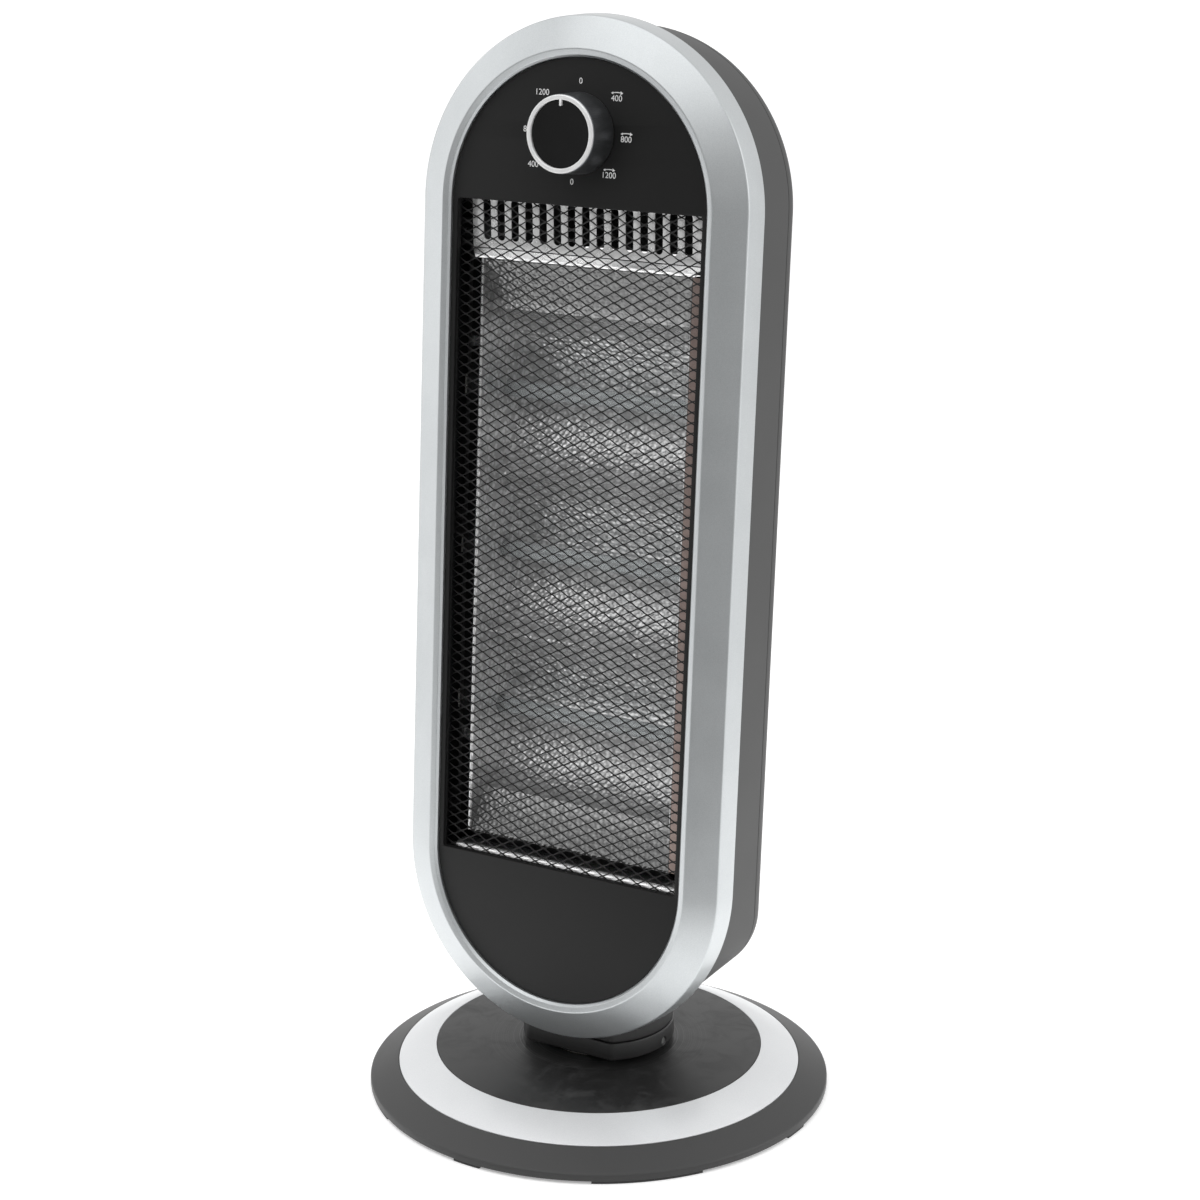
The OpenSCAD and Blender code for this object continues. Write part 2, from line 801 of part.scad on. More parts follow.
// Way for the leads through the bottom of the shells
module lead_way() {
    translate([0, 0, neck_z]) cylinder(r = hub_r + 4, h = stub_h + 14);
}

module boss_place() {
    for (z = boss_zs) both_sides() translate([boss_x, 0, z]) children();
}

module side_shell() {
    color(dark_grey) difference() {
        union() {
            in_head() {
                loft([front_ring(0, shell_y), front_ring(0, bezel_back), rear_ring(0, 0, seam_y),
                    rear_ring(shell_wall, 0, seam_y), front_ring(shell_wall, bezel_back),
                    front_ring(shell_wall, shell_y)]);
                boss_place() {
                    translate([0, seam_y - fit, 0]) rotate([90, 0, 0])
                        cylinder(r = boss_r, h = seam_y - fit - rail_y0 - rail_t);
                    translate([0, rail_y0 + rail_t + 12, -1])
                        cube([seam_r - 0.8 - boss_x, seam_y - fit - rail_y0 - rail_t - 12, 2]);
                }
            }
            neck_stub(true);
        }
        in_head() boss_place() translate([0, seam_y + cut, 0]) rotate([90, 0, 0])
            cylinder(r = screw_r, h = seam_y);
        lead_way();
    }
}

module vents() {
    for (zs = [[50, 130], [230, head_span - 20]], z = [zs[0] : vent_pitch : zs[1]])
        both_sides() translate([vent_l / 2 + 5, z]) rotate(90)
            rounded_slot(vent_w, -vent_l / 2 + vent_w / 2, vent_l / 2 - vent_w / 2, $fn = 16);
}

module rear_cover() {
    y0 = seam_y + eps;
    outer = [for (i = [0 : cover_steps]) let (t = i / cover_steps)
        rear_ring(0, cover_round * t * t, y0 + cover_d * t)];
    inner = [for (i = [0 : cover_steps]) let (t = 1 - i / cover_steps)
        rear_ring(shell_wall, cover_round * t * t, y0 + (cover_d - shell_wall) * t)];
    boss_l = cover_d * 0.4;
    color(dark_grey) difference() {
        union() {
            in_head() {
                shell_cup(outer, inner);
                boss_place() {
                    translate([0, seam_y + boss_l, 0]) rotate([90, 0, 0])
                        cylinder(r = boss_r + 1.5, h = boss_l - 0.3);
                    translate([0, seam_y + 0.3, -1]) cube([seam_r - 1.4 - boss_x, 4, 2]);
                }
            }
            neck_stub(false);
        }
        in_head() {
            panel(back_y - 8, back_y + 8) vents();
            boss_place() translate([0, back_y + cut, 0]) rotate([90, 0, 0]) {
                cylinder(r = screw_r + 0.15, h = cover_d + 2 * cut);
                cylinder(r = head_screw_r + 0.5, h = cover_d - rear_seat + cut);
            }
        }
        lead_way();
    }
}

module rear_screws() {
    color(steel) in_head() boss_place()
        translate([0, seam_y + rear_seat + head_screw_t, 0]) rotate([90, 0, 0])
            screw(head_screw_t + rear_seat + 12);
}

// ---- front ----

module bezel_profile() {
    chamfer_r = head_r - 1.2;
    chamfer_y = lip_y + 0.9 + face_drop;
    wall_y = chamfer_y + 1.8;
    polygon(softened([
        [fascia_r + 0.2, fascia_y],
        [lip_r, lip_y],
        [lip_r + lip_w, lip_y + 0.9],
        [chamfer_r, chamfer_y],
        [head_r, bezel_back],
        [skirt_r, bezel_back],
        [skirt_r - 0.7, wall_y],
        [lip_r + lip_w + 0.5, lip_y + 3.8],
        [lip_r + 0.5, lip_y + 2.9],
        [lip_r + 0.5, guard_y - 0.1],
        [fascia_r - 1.6, guard_y - 0.1],
        [fascia_r - 1.6, fascia_back],
        [fascia_r + 0.2, fascia_back]
    ], [0, 0.6, 1.2, 1.6, 0.4, 0, 0, 0, 0, 0, 0, 0, 0]));
}

module bezel() {
    color(silver) in_head() stadium_sweep() bezel_profile();
}

module window_outline(grow) {
    translate([-window_x - grow, window_z0 - grow])
        square([2 * (window_x + grow), window_z1 - window_z0 + 2 * grow]);
}

module fascia() {
    color(black) in_head() {
        panel(fascia_y, fascia_back) difference() {
            stadium(fascia_r);
            window_outline(0);
            translate([0, knob_z]) circle(bush_r + 0.1);
        }
        panel(fascia_back - eps, guard_y) difference() {
            window_outline(window_wall);
            window_outline(0);
        }
    }
}

// Expanded-metal guard: a sheet cut into rows of diamonds
module guard() {
    w = window_x + 3.4;
    z0 = window_z0 - 2.6;
    z1 = window_z1 + 2.6;
    cols = ceil(w / mesh_w) + 1;
    rows = ceil((z1 - z0) / mesh_h);
    color(black) in_head() panel(guard_y, guard_back) difference() {
        translate([-w, z0]) square([2 * w, z1 - z0]);
        intersection() {
            translate([strand - w, z0 + strand]) square([2 * (w - strand), z1 - z0 - 2 * strand]);
            for (j = [0 : 2 * rows], i = [-cols : cols])
                let (x = (i + (j % 2) / 2) * mesh_w, z = z0 + j * mesh_h / 2)
                if (abs(x) < w + mesh_w / 2 && z < z1 + mesh_h / 2)
                    translate([x, z]) polygon([
                        [mesh_w / 2 - strand, 0], [0, mesh_h / 2 - strand * 0.6],
                        [strand - mesh_w / 2, 0], [0, strand * 0.6 - mesh_h / 2]]);
        }
    }
}

// ---- reflector, rails and lamps ----

// Outline of a sheet whose front follows the (y, z) path
function normal(a, b) = let (d = unit(b - a)) [d[1], -d[0]];
function sheet(path) =
    let (n = len(path))
    concat(path, [for (i = [n - 1 : -1 : 0])
        let (u = normal(path[max(i - 1, 0)], path[max(i, 1)]),
            w = normal(path[min(i, n - 2)], path[min(i + 1, n - 1)]))
        path[i] + sheet_t * (u + w) / (1 + u * w)]);

// Rolled lip and shelf under the troughs
function lip_path() =
    let (c = [guard_back + 6, window_z0 + 2 - lip_roll])
    concat([for (a = [180 : -18 : 90]) c + lip_roll * [cos(a), sin(a)]],
        [[crease_y, window_z0 + 2]]);

function trough_path() =
    let (half = asin(trough_h / 2 / trough_r))
    [for (z = lamp_zs, i = [z == lamp_zs[0] ? 0 : 1 : trough_sides])
        let (a = (2 * i / trough_sides - 1) * half)
        [trough_y + trough_r * cos(a), z + trough_r * sin(a)]];

// Slotted strip over the bright slope
function strip_path() = [[crease_y, crease_z], [crease_y - 3, strip_z1]];

module reflector() {
    color(bright) in_head() difference() {
        union() {
            across(2 * refl_x) polygon(sheet(concat(lip_path(), [[end_y, fold_z0]],
                trough_path(), [[end_y, fold_z1]], strip_path())));
            across(2 * strip_x) polygon(sheet(lip_path()));
            across(2 * strip_x) polygon(sheet(strip_path()));
        }
        panel(guard_back, ridge_y - 4) for (i = [0 : slots - 1])
            translate([(i - (slots - 1) / 2) * slot_pitch, 0])
                rounded_slot(slot_w, slot_z0, slot_z1);
    }
}

module reflector_ends() {
    z0 = fold_z0 + fit;
    z1 = fold_z1 - fit;
    color(bright) in_head() both_sides() {
        translate([refl_x, 0, 0]) rotate([90, 0, 90]) linear_extrude(sheet_t) difference() {
            translate([end_y, z0]) square([trough_back + 1 - end_y, z1 - z0]);
            for (z = lamp_zs) translate([lamp_y, z]) circle(tube_r + 1.5);
        }
        // Fixing tabs to the rail
        for (z = [trough_z + tab_low, z1 - tab_high])
            translate([refl_x + sheet_t - eps, ridge_y - 2, z - 3])
                cube([end_in + side_gap - sheet_t + eps, sheet_t, 6]);
    }
}

module side_rail() {
    color(black) in_head() difference() {
        union() {
            translate([rail_x, rail_y0, rail_z0])
                cube([rail_t, rail_y1 - rail_y0, rail_z1 - rail_z0]);
            translate([rail_x, rail_y0, rail_z0]) cube([rail_lip, rail_t, rail_z1 - rail_z0]);
            // Tabs on the shell's bosses
            for (z = boss_zs) translate([rail_x, rail_y0, z - rail_tab / 2])
                cube([boss_x + boss_r - rail_x, rail_t, rail_tab]);
        }
        for (z = lamp_zs) translate([rail_x - cut, lamp_y, z]) rotate([0, 90, 0])
            cylinder(r = cap_w / 2 + 2.5, h = rail_t + 2 * cut);
        for (z = boss_zs) translate([boss_x, rail_y0 + rail_t + cut, z]) rotate([90, 0, 0])
            cylinder(r = screw_r + 0.15, h = rail_t + 2 * cut);
    }
}

module side_rail_left() {
    mirror([1, 0, 0]) side_rail();
}

module side_rail_right() {
    side_rail();
}

module lamp_tube(z) {
    color(quartz) in_head() translate([-tube_x, lamp_y, z]) rotate([0, 90, 0]) difference() {
        cylinder(r = tube_r, h = 2 * tube_x);
        translate([0, 0, -cut]) cylinder(r = tube_r - tube_wall, h = 2 * tube_x + 2 * cut);
    }
}

module lamp_top() {
    lamp_tube(lamp_zs[2]);
}

module lamp_middle() {
    lamp_tube(lamp_zs[1]);
}

module lamp_bottom() {
    lamp_tube(lamp_zs[0]);
}

module filaments() {
    color(steel) in_head() for (z = lamp_zs) translate([-tube_x, lamp_y, z]) rotate([0, 90, 0])
        cylinder(r = 0.9, h = 2 * tube_x);
}

module lamp_caps() {
    color(ceramic) in_head() for (z = lamp_zs) both_sides()
        translate([tube_x, lamp_y - cap_w / 2, z - cap_w / 2])
            cube([cap_x - tube_x, cap_w, cap_w]);
}

module lamp_clips() {
    clip_x = rail_x + rail_t;
    color(steel) in_head() for (z = lamp_zs) both_sides() {
        translate([clip_x, lamp_y - 4, z - cap_w / 2 - 10]) cube([0.8, 8, 10]);
        translate([clip_x, lamp_y - 4, z - cap_w / 2 - 0.8])
            cube([cap_x - clip_x - 1, 8, 0.8]);
    }
}

module thermal_cutout() {
    color(steel) in_head() translate([0, trough_back + sheet_t, lamp_zs[len(lamp_zs) - 1]])
        rotate([-90, 0, 0]) {
            cylinder(r = 8, h = 4);
            translate([0, 0, 4]) cylinder(r = 6, h = 5);
        }
}

module terminal_block() {
    w = block_poles * block_pitch;
    color(nylon) in_head() translate([-w / 2, back_y - shell_wall - block_d, 0]) difference() {
        cube([w, block_d, block_h]);
        for (i = [0 : block_poles - 1])
            translate([(i + 0.5) * block_pitch, -cut, block_h / 2]) rotate([-90, 0, 0])
                cylinder(r = 2.4, h = block_d * 0.7);
    }
}

// ---- switch and knob ----

module on_knob_axis() {
    in_head() translate([0, fascia_y, knob_z]) rotate([90, 0, 0]) children();
}

module rotary_switch() {
    color(black) on_knob_axis() difference() {
        union() {
            translate([-switch_w / 2, -switch_w / 2, -fascia_t - switch_d])
                cube([switch_w, switch_w, switch_d]);
            translate([0, 0, -fascia_t - eps]) cylinder(r = bush_r, h = fascia_t + 3 + eps);
        }
        translate([0, 0, -fascia_t - switch_d + 4])
            cylinder(r = shaft_r + run_gap, h = switch_d + fascia_t + 3);
    }
}

module switch_nut() {
    color(steel) on_knob_axis() difference() {
        cylinder(r = nut_r, h = nut_t, $fn = 6);
        translate([0, 0, -cut]) cylinder(r = bush_r, h = nut_t + 2 * cut);
    }
}

module knob() {
    wall = 2;
    color(silver) on_knob_axis() rotate_extrude() polygon(softened([
        [shaft_r, nut_t + 1.6],
        [shaft_r + 3, nut_t + 1.6],
        [shaft_r + 3, knob_h - insert_drop - 4],
        [knob_top_r - wall, knob_h - insert_drop - 4],
        [knob_r - wall, 0.5],
        [knob_r, 0.5],
        [knob_top_r, knob_h - 1.2],
        [knob_top_r - knob_ring_w, knob_h - 1.2],
        [knob_top_r - knob_ring_w, knob_h - insert_drop - 1.6],
        [shaft_r, knob_h - insert_drop - 1.6]
    ], [0, 0, 0, 0, 0, 0.4, 0.5, 0, 0, 0]));
}

module knob_ring() {
    color(bright) on_knob_axis() {
        rotate_extrude() polygon(softened([
            [knob_top_r - knob_ring_w, knob_h - 1.2],
            [knob_top_r - 0.2, knob_h - 1.2],
            [knob_top_r - 0.2, knob_h],
            [knob_top_r - knob_ring_w, knob_h]
        ], [0, 0, 0.4, 0.3]));
        // Pointer
        translate([-0.6, knob_top_r - knob_ring_w - 3, knob_h - insert_drop])
            cube([1.2, 3.3, 0.7]);
    }
}

module knob_insert() {
    color(black) on_knob_axis() translate([0, 0, knob_h - insert_drop - 1.6])
        cylinder(r = knob_top_r - knob_ring_w, h = 1.6);
}

module knob_shaft() {
    color(steel) on_knob_axis() translate([0, 0, -fascia_t - switch_d + 6])
        cylinder(r = shaft_r, h = fascia_t + switch_d - 6 + knob_h - insert_drop - 1.6);
}

base_cover();
base_ring();
base_disc();
bottom_plate();
foot_pads();
base_screws();
base_weight();
weight_screws();
cord_inlet();
swing_motor();
motor_screws();
tip_switch();
hub_bush();
slide_washer();
crank();
plunger();
plunger_spring();
swing_hub();
swing_lever();
lever_screws();
neck_collar();
collar_screws();
side_shell();
rear_cover();
rear_screws();
bezel();
fascia();
guard();
reflector();
reflector_ends();
side_rail_left();
side_rail_right();
lamp_top();
lamp_middle();
lamp_bottom();
filaments();
lamp_caps();
lamp_clips();
thermal_cutout();
terminal_block();
rotary_switch();
switch_nut();
knob();
knob_ring();
knob_insert();
knob_shaft();
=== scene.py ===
import json
import math

import bmesh
import bpy
import numpy as np
from mathutils import Matrix, Vector


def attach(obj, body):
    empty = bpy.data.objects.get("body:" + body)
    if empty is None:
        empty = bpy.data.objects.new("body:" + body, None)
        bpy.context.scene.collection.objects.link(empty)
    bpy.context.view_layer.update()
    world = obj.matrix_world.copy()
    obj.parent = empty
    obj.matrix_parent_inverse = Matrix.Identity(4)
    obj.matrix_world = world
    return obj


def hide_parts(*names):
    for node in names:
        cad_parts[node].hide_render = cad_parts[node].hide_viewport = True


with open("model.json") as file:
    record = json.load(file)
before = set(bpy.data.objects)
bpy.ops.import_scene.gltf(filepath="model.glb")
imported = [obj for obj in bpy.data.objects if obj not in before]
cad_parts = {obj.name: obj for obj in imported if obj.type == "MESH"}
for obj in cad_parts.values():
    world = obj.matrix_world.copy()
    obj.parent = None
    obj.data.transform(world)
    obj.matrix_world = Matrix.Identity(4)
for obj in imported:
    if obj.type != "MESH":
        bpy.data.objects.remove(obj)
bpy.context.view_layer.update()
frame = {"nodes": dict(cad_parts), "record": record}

mm = 0.001

# The leaning head has its own frame in mm: x across, y back, z up from its lower round centre
head = {"lean": 3.81, "forward": 35.5, "up": 152.86, "span": 383.1}
headTurn = Matrix.Rotation(-math.radians(head["lean"]), 4, "X")
headPlace = Matrix.Translation((0, -head["forward"] * mm, head["up"] * mm)) @ headTurn


def fromHead(points):
    # mm in the head's frame to mm in the heater's
    points = np.asarray(points, float)
    s, c = math.sin(math.radians(head["lean"])), math.cos(math.radians(head["lean"]))
    x, y, z = points[..., 0], points[..., 1], points[..., 2]
    return np.stack([x, z * s + y * c - head["forward"], z * c - y * s + head["up"]], -1)


def addObject(name, data):
    made = bpy.data.objects.new(name, data)
    bpy.context.scene.collection.objects.link(made)
    return made


studio = {
    "lens": 80.72,
    "cameraPlace": (0.7794, -1.2993, 0.7365),
    "cameraTurn": (74.09, 0, 30.93),
    "floorColor": (0.93, 0.93, 0.93),
    "floorLift": 0.3,  # what the camera sees on top of the lit floor
    "floorSize": (-9, 9, -2.2, 14),
    "skyLight": 0.62,
    "frontDark": 0.24,  # the sky in front, at the height of the heater
    # round the camera's place the floor is darker
    "darkTurn": 22, "darkAway": 1.05, "darkLong": 0.8, "darkWide": 0.72, "darkCore": 0.45,
    "darkColor": 0.03,
    # the rest of the floor is brighter in reflections, and most of all near the heater
    "glossNear": 0.85, "glossFar": 0.2, "nearEdge": 0.15, "farEdge": 1.1,
    # place, target, width, height and power of each softbox
    "lamps": {
        "topSoftbox": ((-0.15, -1.1, 2.1), (0, -0.1, 0.35), 2.3, 1.8, 17.5),
        "leftSoftbox": ((-1.9, -0.5, 1.0), (0, -0.05, 0.35), 1.3, 1.9, 7.5),
        "rightSoftbox": ((2.0, 0.5, 1.1), (0, -0.05, 0.35), 1.3, 1.9, 10),
    },
}


def makeCamera():
    camera = addObject("camera", bpy.data.cameras.new("camera"))
    camera.data.lens = studio["lens"]
    camera.data.sensor_width = 36
    camera.data.clip_start = 0.05
    camera.location = studio["cameraPlace"]
    camera.rotation_euler = [math.radians(a) for a in studio["cameraTurn"]]
    bpy.context.scene.camera = camera
    bpy.context.scene.view_settings.view_transform = "Standard"


def makeLamps():
    for name, (place, target, wide, tall, power) in studio["lamps"].items():
        data = bpy.data.lights.new(name, "AREA")
        data.energy = power
        data.shape = "RECTANGLE"
        data.size, data.size_y = wide, tall
        lamp = addObject(name, data)
        lamp.location = place
        lamp.rotation_euler = (Vector(target) - Vector(place)).to_track_quat("-Z", "Y").to_euler()


def bothWays(operation):
    # a Python operator and its reflected form, each as a Math node
    return (lambda sock, other: sock.math(operation, sock, other),
            lambda sock, other: sock.math(operation, other, sock))


class Sock:
    # a node's output that can stand in a Python sum
    def __init__(self, owner, output):
        self.owner, self.output = owner, output

    def math(self, operation, *values):
        return self.owner.node("Math", {"operation": operation}, values)

    __add__, __radd__ = bothWays("ADD")
    __sub__, __rsub__ = bothWays("SUBTRACT")
    __mul__, __rmul__ = bothWays("MULTIPLY")
    __truediv__, __rtruediv__ = bothWays("DIVIDE")
    __pow__, __rpow__ = bothWays("POWER")

    def __abs__(self):
        return self.math("ABSOLUTE", self)

    def twin(self, name):
        # another output of the same node
        return Sock(self.owner, self.output.node.outputs[name])

    def ramp(self, low, high, toLow=0.0, toHigh=1.0):
        return self.owner.node("MapRange", {"interpolation_type": "SMOOTHSTEP"},
                               (self, low, high, toLow, toHigh))


class NodeTree:
    # nodes that are made and joined from Python
    def __init__(self, tree):
        self.tree = tree

    def node(self, kind, settings={}, values=(), out=0):
        made = self.tree.nodes.new("ShaderNode" + kind)
        for key, value in settings.items():
            setattr(made, key, value)
        self.feed(made, values)
        return Sock(self, made.outputs[out])

    def feed(self, made, values):
        pairs = values.items() if isinstance(values, dict) else enumerate(values)
        for key, value in pairs:
            if value is None:
                continue
            socket = made.inputs[key]
            if isinstance(value, Sock):
                self.tree.links.new(value.output, socket)
            elif socket.type == "RGBA" and len(value) == 3:
                socket.default_value = (*value, 1)
            else:
                socket.default_value = value

    def place(self, stretch=(1, 1, 1)):
        spot = self.node("TexCoord", out="Object")
        if stretch == (1, 1, 1):
            return spot
        return self.node("Mapping", {}, {"Vector": spot, "Scale": stretch})

    def parted(self, vector=None):
        # the x of a vector, with its twins Y and Z
        return self.node("SeparateXYZ", {}, [vector or self.place()])

    def noise(self, size, detail=2, rough=0.5, stretch=(1, 1, 1), warp=0.0):
        # size is the width of one blotch in mm
        return self.node("TexNoise", {}, {
            "Vector": self.place(stretch), "Scale": 1000 / size, "Detail": detail,
            "Roughness": rough, "Distortion": warp})

    def cells(self, size):
        return self.node("TexVoronoi", {}, {"Vector": self.place(), "Scale": 1000 / size})

    def blend(self, a, b, factor):
        return self.node("Mix", {"data_type": "RGBA"}, {0: factor, 6: a, 7: b}, out=2)

    def bump(self, height, depth, strength=1.0, under=None):
        # depth is in mm
        return self.node("Bump", {}, {"Height": height, "Distance": depth * mm,
                                      "Strength": strength, "Normal": under})


# short names of the shader's sockets
socketNames = {
    "color": "Base Color", "rough": "Roughness", "metal": "Metallic", "normal": "Normal",
    "coat": "Coat Weight", "coatRough": "Coat Roughness", "level": "Specular IOR Level",
    "ior": "IOR", "clear": "Transmission Weight", "glow": "Emission Color",
    "glowLevel": "Emission Strength",
}


class Paint(NodeTree):
    # one material, made of a Principled shader and what feeds it
    def __init__(self, name, **constants):
        self.material = bpy.data.materials.new(name)
        self.material.use_nodes = True
        super().__init__(self.material.node_tree)
        self.show(**constants)

    def show(self, **values):
        self.feed(self.tree.nodes["Principled BSDF"],
                  {socketNames[key]: value for key, value in values.items()})
        return self.material


def grey(value):
    # a grey as it shows on the screen, 0 to 255, as a plain shader colour
    v = value / 255
    v = v / 12.92 if v <= 0.04045 else ((v + 0.055) / 1.055) ** 2.4
    return (v, v, v)


def tint(r, g, b):
    return (grey(r)[0], grey(g)[0], grey(b)[0])


def silverLacquer(name, low, high, metal, rough):
    # fine flakes under a clear coat with a trace of orange peel
    paint = Paint(name, metal=metal, coatRough=0.16)
    flake = paint.noise(0.45, 1)
    cloud = paint.noise(26, 3)
    peel = paint.bump(paint.noise(1.4, 2), 0.02, 0.5)
    return paint.show(color=paint.blend(low, high, flake * 0.7 + cloud * 0.3),
                      rough=rough + flake * 0.12 + cloud * 0.05,
                      normal=paint.bump(flake, 0.008, 0.5, peel), coat=0.22 + cloud * 0.1)


def mouldedPlastic(name, low, high, rough, grain, depth, blotch=40, coat=0.0, tone=(1, 1, 1),
                   level=0.5, rim=0.0):
    # spark-eroded mould surface: fine grain, slow change of gloss and a few pale scuffs
    paint = Paint(name, coatRough=0.2, coat=coat, level=level)
    fine = paint.noise(grain, 3, 0.6)
    slow = paint.noise(blotch, 3)
    scuff = paint.noise(3.2, 5, 0.62, stretch=(1, 1.9, 0.7)).ramp(0.66, 0.8)
    a = tuple(x * y for x, y in zip(grey(low), tone))
    b = tuple(x * y for x, y in zip(grey(high), tone))
    color = paint.blend(a, b, fine * 0.35 + slow * 0.5 + scuff * 0.25)
    if rim:
        # painted shade: the upright rim of the base is coloured darker than the slope above it
        under = paint.parted().twin("Z").ramp(5.2 * mm, 6.0 * mm, 1.0, 0.0)
        color = paint.blend(color, grey(14), under * rim)
    return paint.show(color=color, rough=rough + slow * 0.12 + fine * 0.08 - scuff * 0.05,
                      normal=paint.bump(fine, depth, 0.7))


def rubbedDisc():
    # satin black with cloudy wipe marks, and arcs that the neck has rubbed round the axis
    paint = Paint("rubbedDisc", coatRough=0.3)
    x = paint.parted()
    y = x.twin("Y")
    radius = (x * x + y * y) ** 0.5
    fine = paint.noise(0.5, 3, 0.6)
    smudge = paint.noise(17, 5, 0.66, warp=0.8).ramp(0.42, 0.75)
    streak = paint.node("TexNoise", {"noise_dimensions": "1D"},
                        {"W": radius * 1000, "Scale": 1.1, "Detail": 3}).ramp(0.5, 0.72)
    near = radius.ramp(47 * mm, 72 * mm, 1.0, 0.0)
    return paint.show(
        color=paint.blend(grey(24), grey(66), fine * 0.12 + smudge * 0.42 + streak * near * 0.5),
        rough=0.36 + smudge * 0.18 + fine * 0.08 - streak * near * 0.08,
        normal=paint.bump(fine, 0.02, 0.6))


def glossInsert():
    paint = Paint("glossInsert", coat=0.35, coatRough=0.03, level=0.3)
    dust = paint.noise(1.1, 4, 0.7).ramp(0.62, 0.8)
    haze = paint.noise(9, 3)
    return paint.show(color=paint.blend(grey(8), grey(36), dust * 0.3 + haze * 0.12),
                      rough=0.1 + haze * 0.08 + dust * 0.1,
                      normal=paint.bump(haze, 0.006, 0.3))


def brushedKnob():
    # fine brush lines run along the knob's axis, which points out of the head
    paint = Paint("brushedKnob", metal=0.92, coatRough=0.2, coat=0.1)
    line = paint.noise(0.34, 3, 0.7, stretch=(1, 0.05, 1))
    cloud = paint.noise(12, 2)
    color = paint.blend(tint(84, 86, 89), tint(146, 148, 151), line * 0.8 + cloud * 0.2)
    return paint.show(color=color, rough=0.27 + line * 0.16, normal=paint.bump(line, 0.02, 0.6))


def brightMetal(name, low, high, rough, grain, depth, metal=1.0):
    paint = Paint(name, metal=metal)
    fine = paint.noise(grain, 3, 0.6)
    stain = paint.noise(14, 4, 0.6).ramp(0.4, 0.75)
    color = paint.blend(paint.blend(low, high, fine), tuple(x * 0.72 for x in low), stain * 0.35)
    return paint.show(color=color, rough=rough + fine * 0.12 + stain * 0.1,
                      normal=paint.bump(fine, depth, 0.6))


def hammeredSheet():
    # rolled sheet, with painted shade in rings round its dents and on its sloping top and bottom
    # ends
    paint = Paint("hammeredSheet", metal=0.6)
    roll = paint.noise(0.5, 3, 0.6, stretch=(0.06, 1, 1))
    haze = paint.noise(30, 4, 0.6)
    dirt = paint.noise(2.6, 4, 0.7).ramp(0.58, 0.8)
    color = paint.blend(grey(224), grey(246), roll)
    color = paint.blend(color, grey(126), haze * 0.1 + dirt * 0.15)
    high = paint.parted().twin("Z")
    # painted shade: the sloping ends at the top and bottom of the reflector are coloured darker
    ends = high.ramp(462 * mm, 482 * mm) * 0.8 + high.ramp(200 * mm, 165 * mm) * 0.85
    color = paint.blend(color, grey(120), ends)
    # painted shade round the rim of each dent, which strengthens the dents' contrast
    color = paint.blend(color, grey(104), paint.cells(3.1).ramp(0.3, 0.62) * 0.42)
    return paint.show(color=color, rough=0.09 + roll * 0.05 + haze * 0.08 + dirt * 0.12,
                      normal=paint.bump(roll, 0.006, 0.5))


def brightBend():
    paint = Paint("brightBend", metal=1.0)
    roll = paint.noise(0.4, 3, 0.6, stretch=(0.04, 1, 1))
    haze = paint.noise(18, 3)
    return paint.show(color=paint.blend(grey(240), grey(252), roll * 0.6 + haze * 0.4),
                      rough=0.2 + roll * 0.1 + haze * 0.06, normal=paint.bump(roll, 0.008, 0.4))


def guardPaint():
    paint = Paint("guardPaint", metal=0.1, coat=0.1, coatRough=0.3, level=0.35)
    fine = paint.noise(0.6, 3, 0.6)
    worn = paint.noise(5, 4, 0.7).ramp(0.6, 0.78)
    return paint.show(color=paint.blend(grey(12), grey(44), fine * 0.25 + worn * 0.3),
                      rough=0.34 + fine * 0.16, normal=paint.bump(fine, 0.02, 0.5))


def quartzGlass():
    paint = Paint("quartzGlass", clear=0.8, ior=1.25)
    seed = paint.noise(3, 3)
    return paint.show(color=paint.blend((0.9, 0.92, 0.92), (0.8, 0.83, 0.84), seed),
                      rough=0.1 + seed * 0.12)


def dialPrint():
    paint = Paint("dialPrint")
    fine = paint.noise(0.4, 3)
    return paint.show(color=paint.blend(grey(214), grey(238), fine), rough=0.45 + fine * 0.1,
                      normal=paint.bump(fine, 0.01, 0.4))


print("finishes")
finish = {
    "charcoal_plastic": mouldedPlastic("charcoalPlastic", 46, 60, 0.42, 0.55, 0.03),
    "black_plastic": mouldedPlastic("blackPlastic", 22, 34, 0.36, 0.6, 0.03),
    "black_disc": rubbedDisc(),
    "fascia_black": mouldedPlastic("fasciaBlack", 20, 30, 0.36, 0.45, 0.02, 60, level=0.2),
    "black_gloss": glossInsert(),
    "housing_grey": mouldedPlastic("housingGrey", 47, 58, 0.46, 0.6, 0.035, 60),
    "silver_paint": silverLacquer("silverLacquer", tint(164, 168, 170), tint(204, 207, 208),
                                  0.9, 0.32),
    "silver_knob": brushedKnob(),
    "bright_trim": brightMetal("brightTrim", grey(226), grey(246), 0.3, 0.5, 0.004, 0.35),
    "steel": brightMetal("zincSteel", tint(150, 152, 150), tint(186, 188, 186), 0.28, 0.7, 0.02),
    "guard_black": guardPaint(),
    "bright_aluminium": hammeredSheet(),
    "rail_black": mouldedPlastic("railBlack", 16, 34, 0.38, 0.8, 0.03, 20, 0.2),
    "weight_iron": brightMetal("weightIron", grey(64), grey(90), 0.42, 1.2, 0.06, 0.8),
    "rubber": mouldedPlastic("blackRubber", 24, 38, 0.66, 0.8, 0.06, 12),
    "nylon": mouldedPlastic("creamNylon", 212, 232, 0.4, 0.9, 0.02, 14, 0, (1, 0.98, 0.9)),
    "quartz": quartzGlass(),
    "tungsten": brightMetal("tungstenWire", grey(110), grey(150), 0.34, 0.3, 0.01),
    "ceramic": mouldedPlastic("whiteCeramic", 222, 240, 0.5, 0.5, 0.03, 8, 0, (1, 0.985, 0.94)),
}
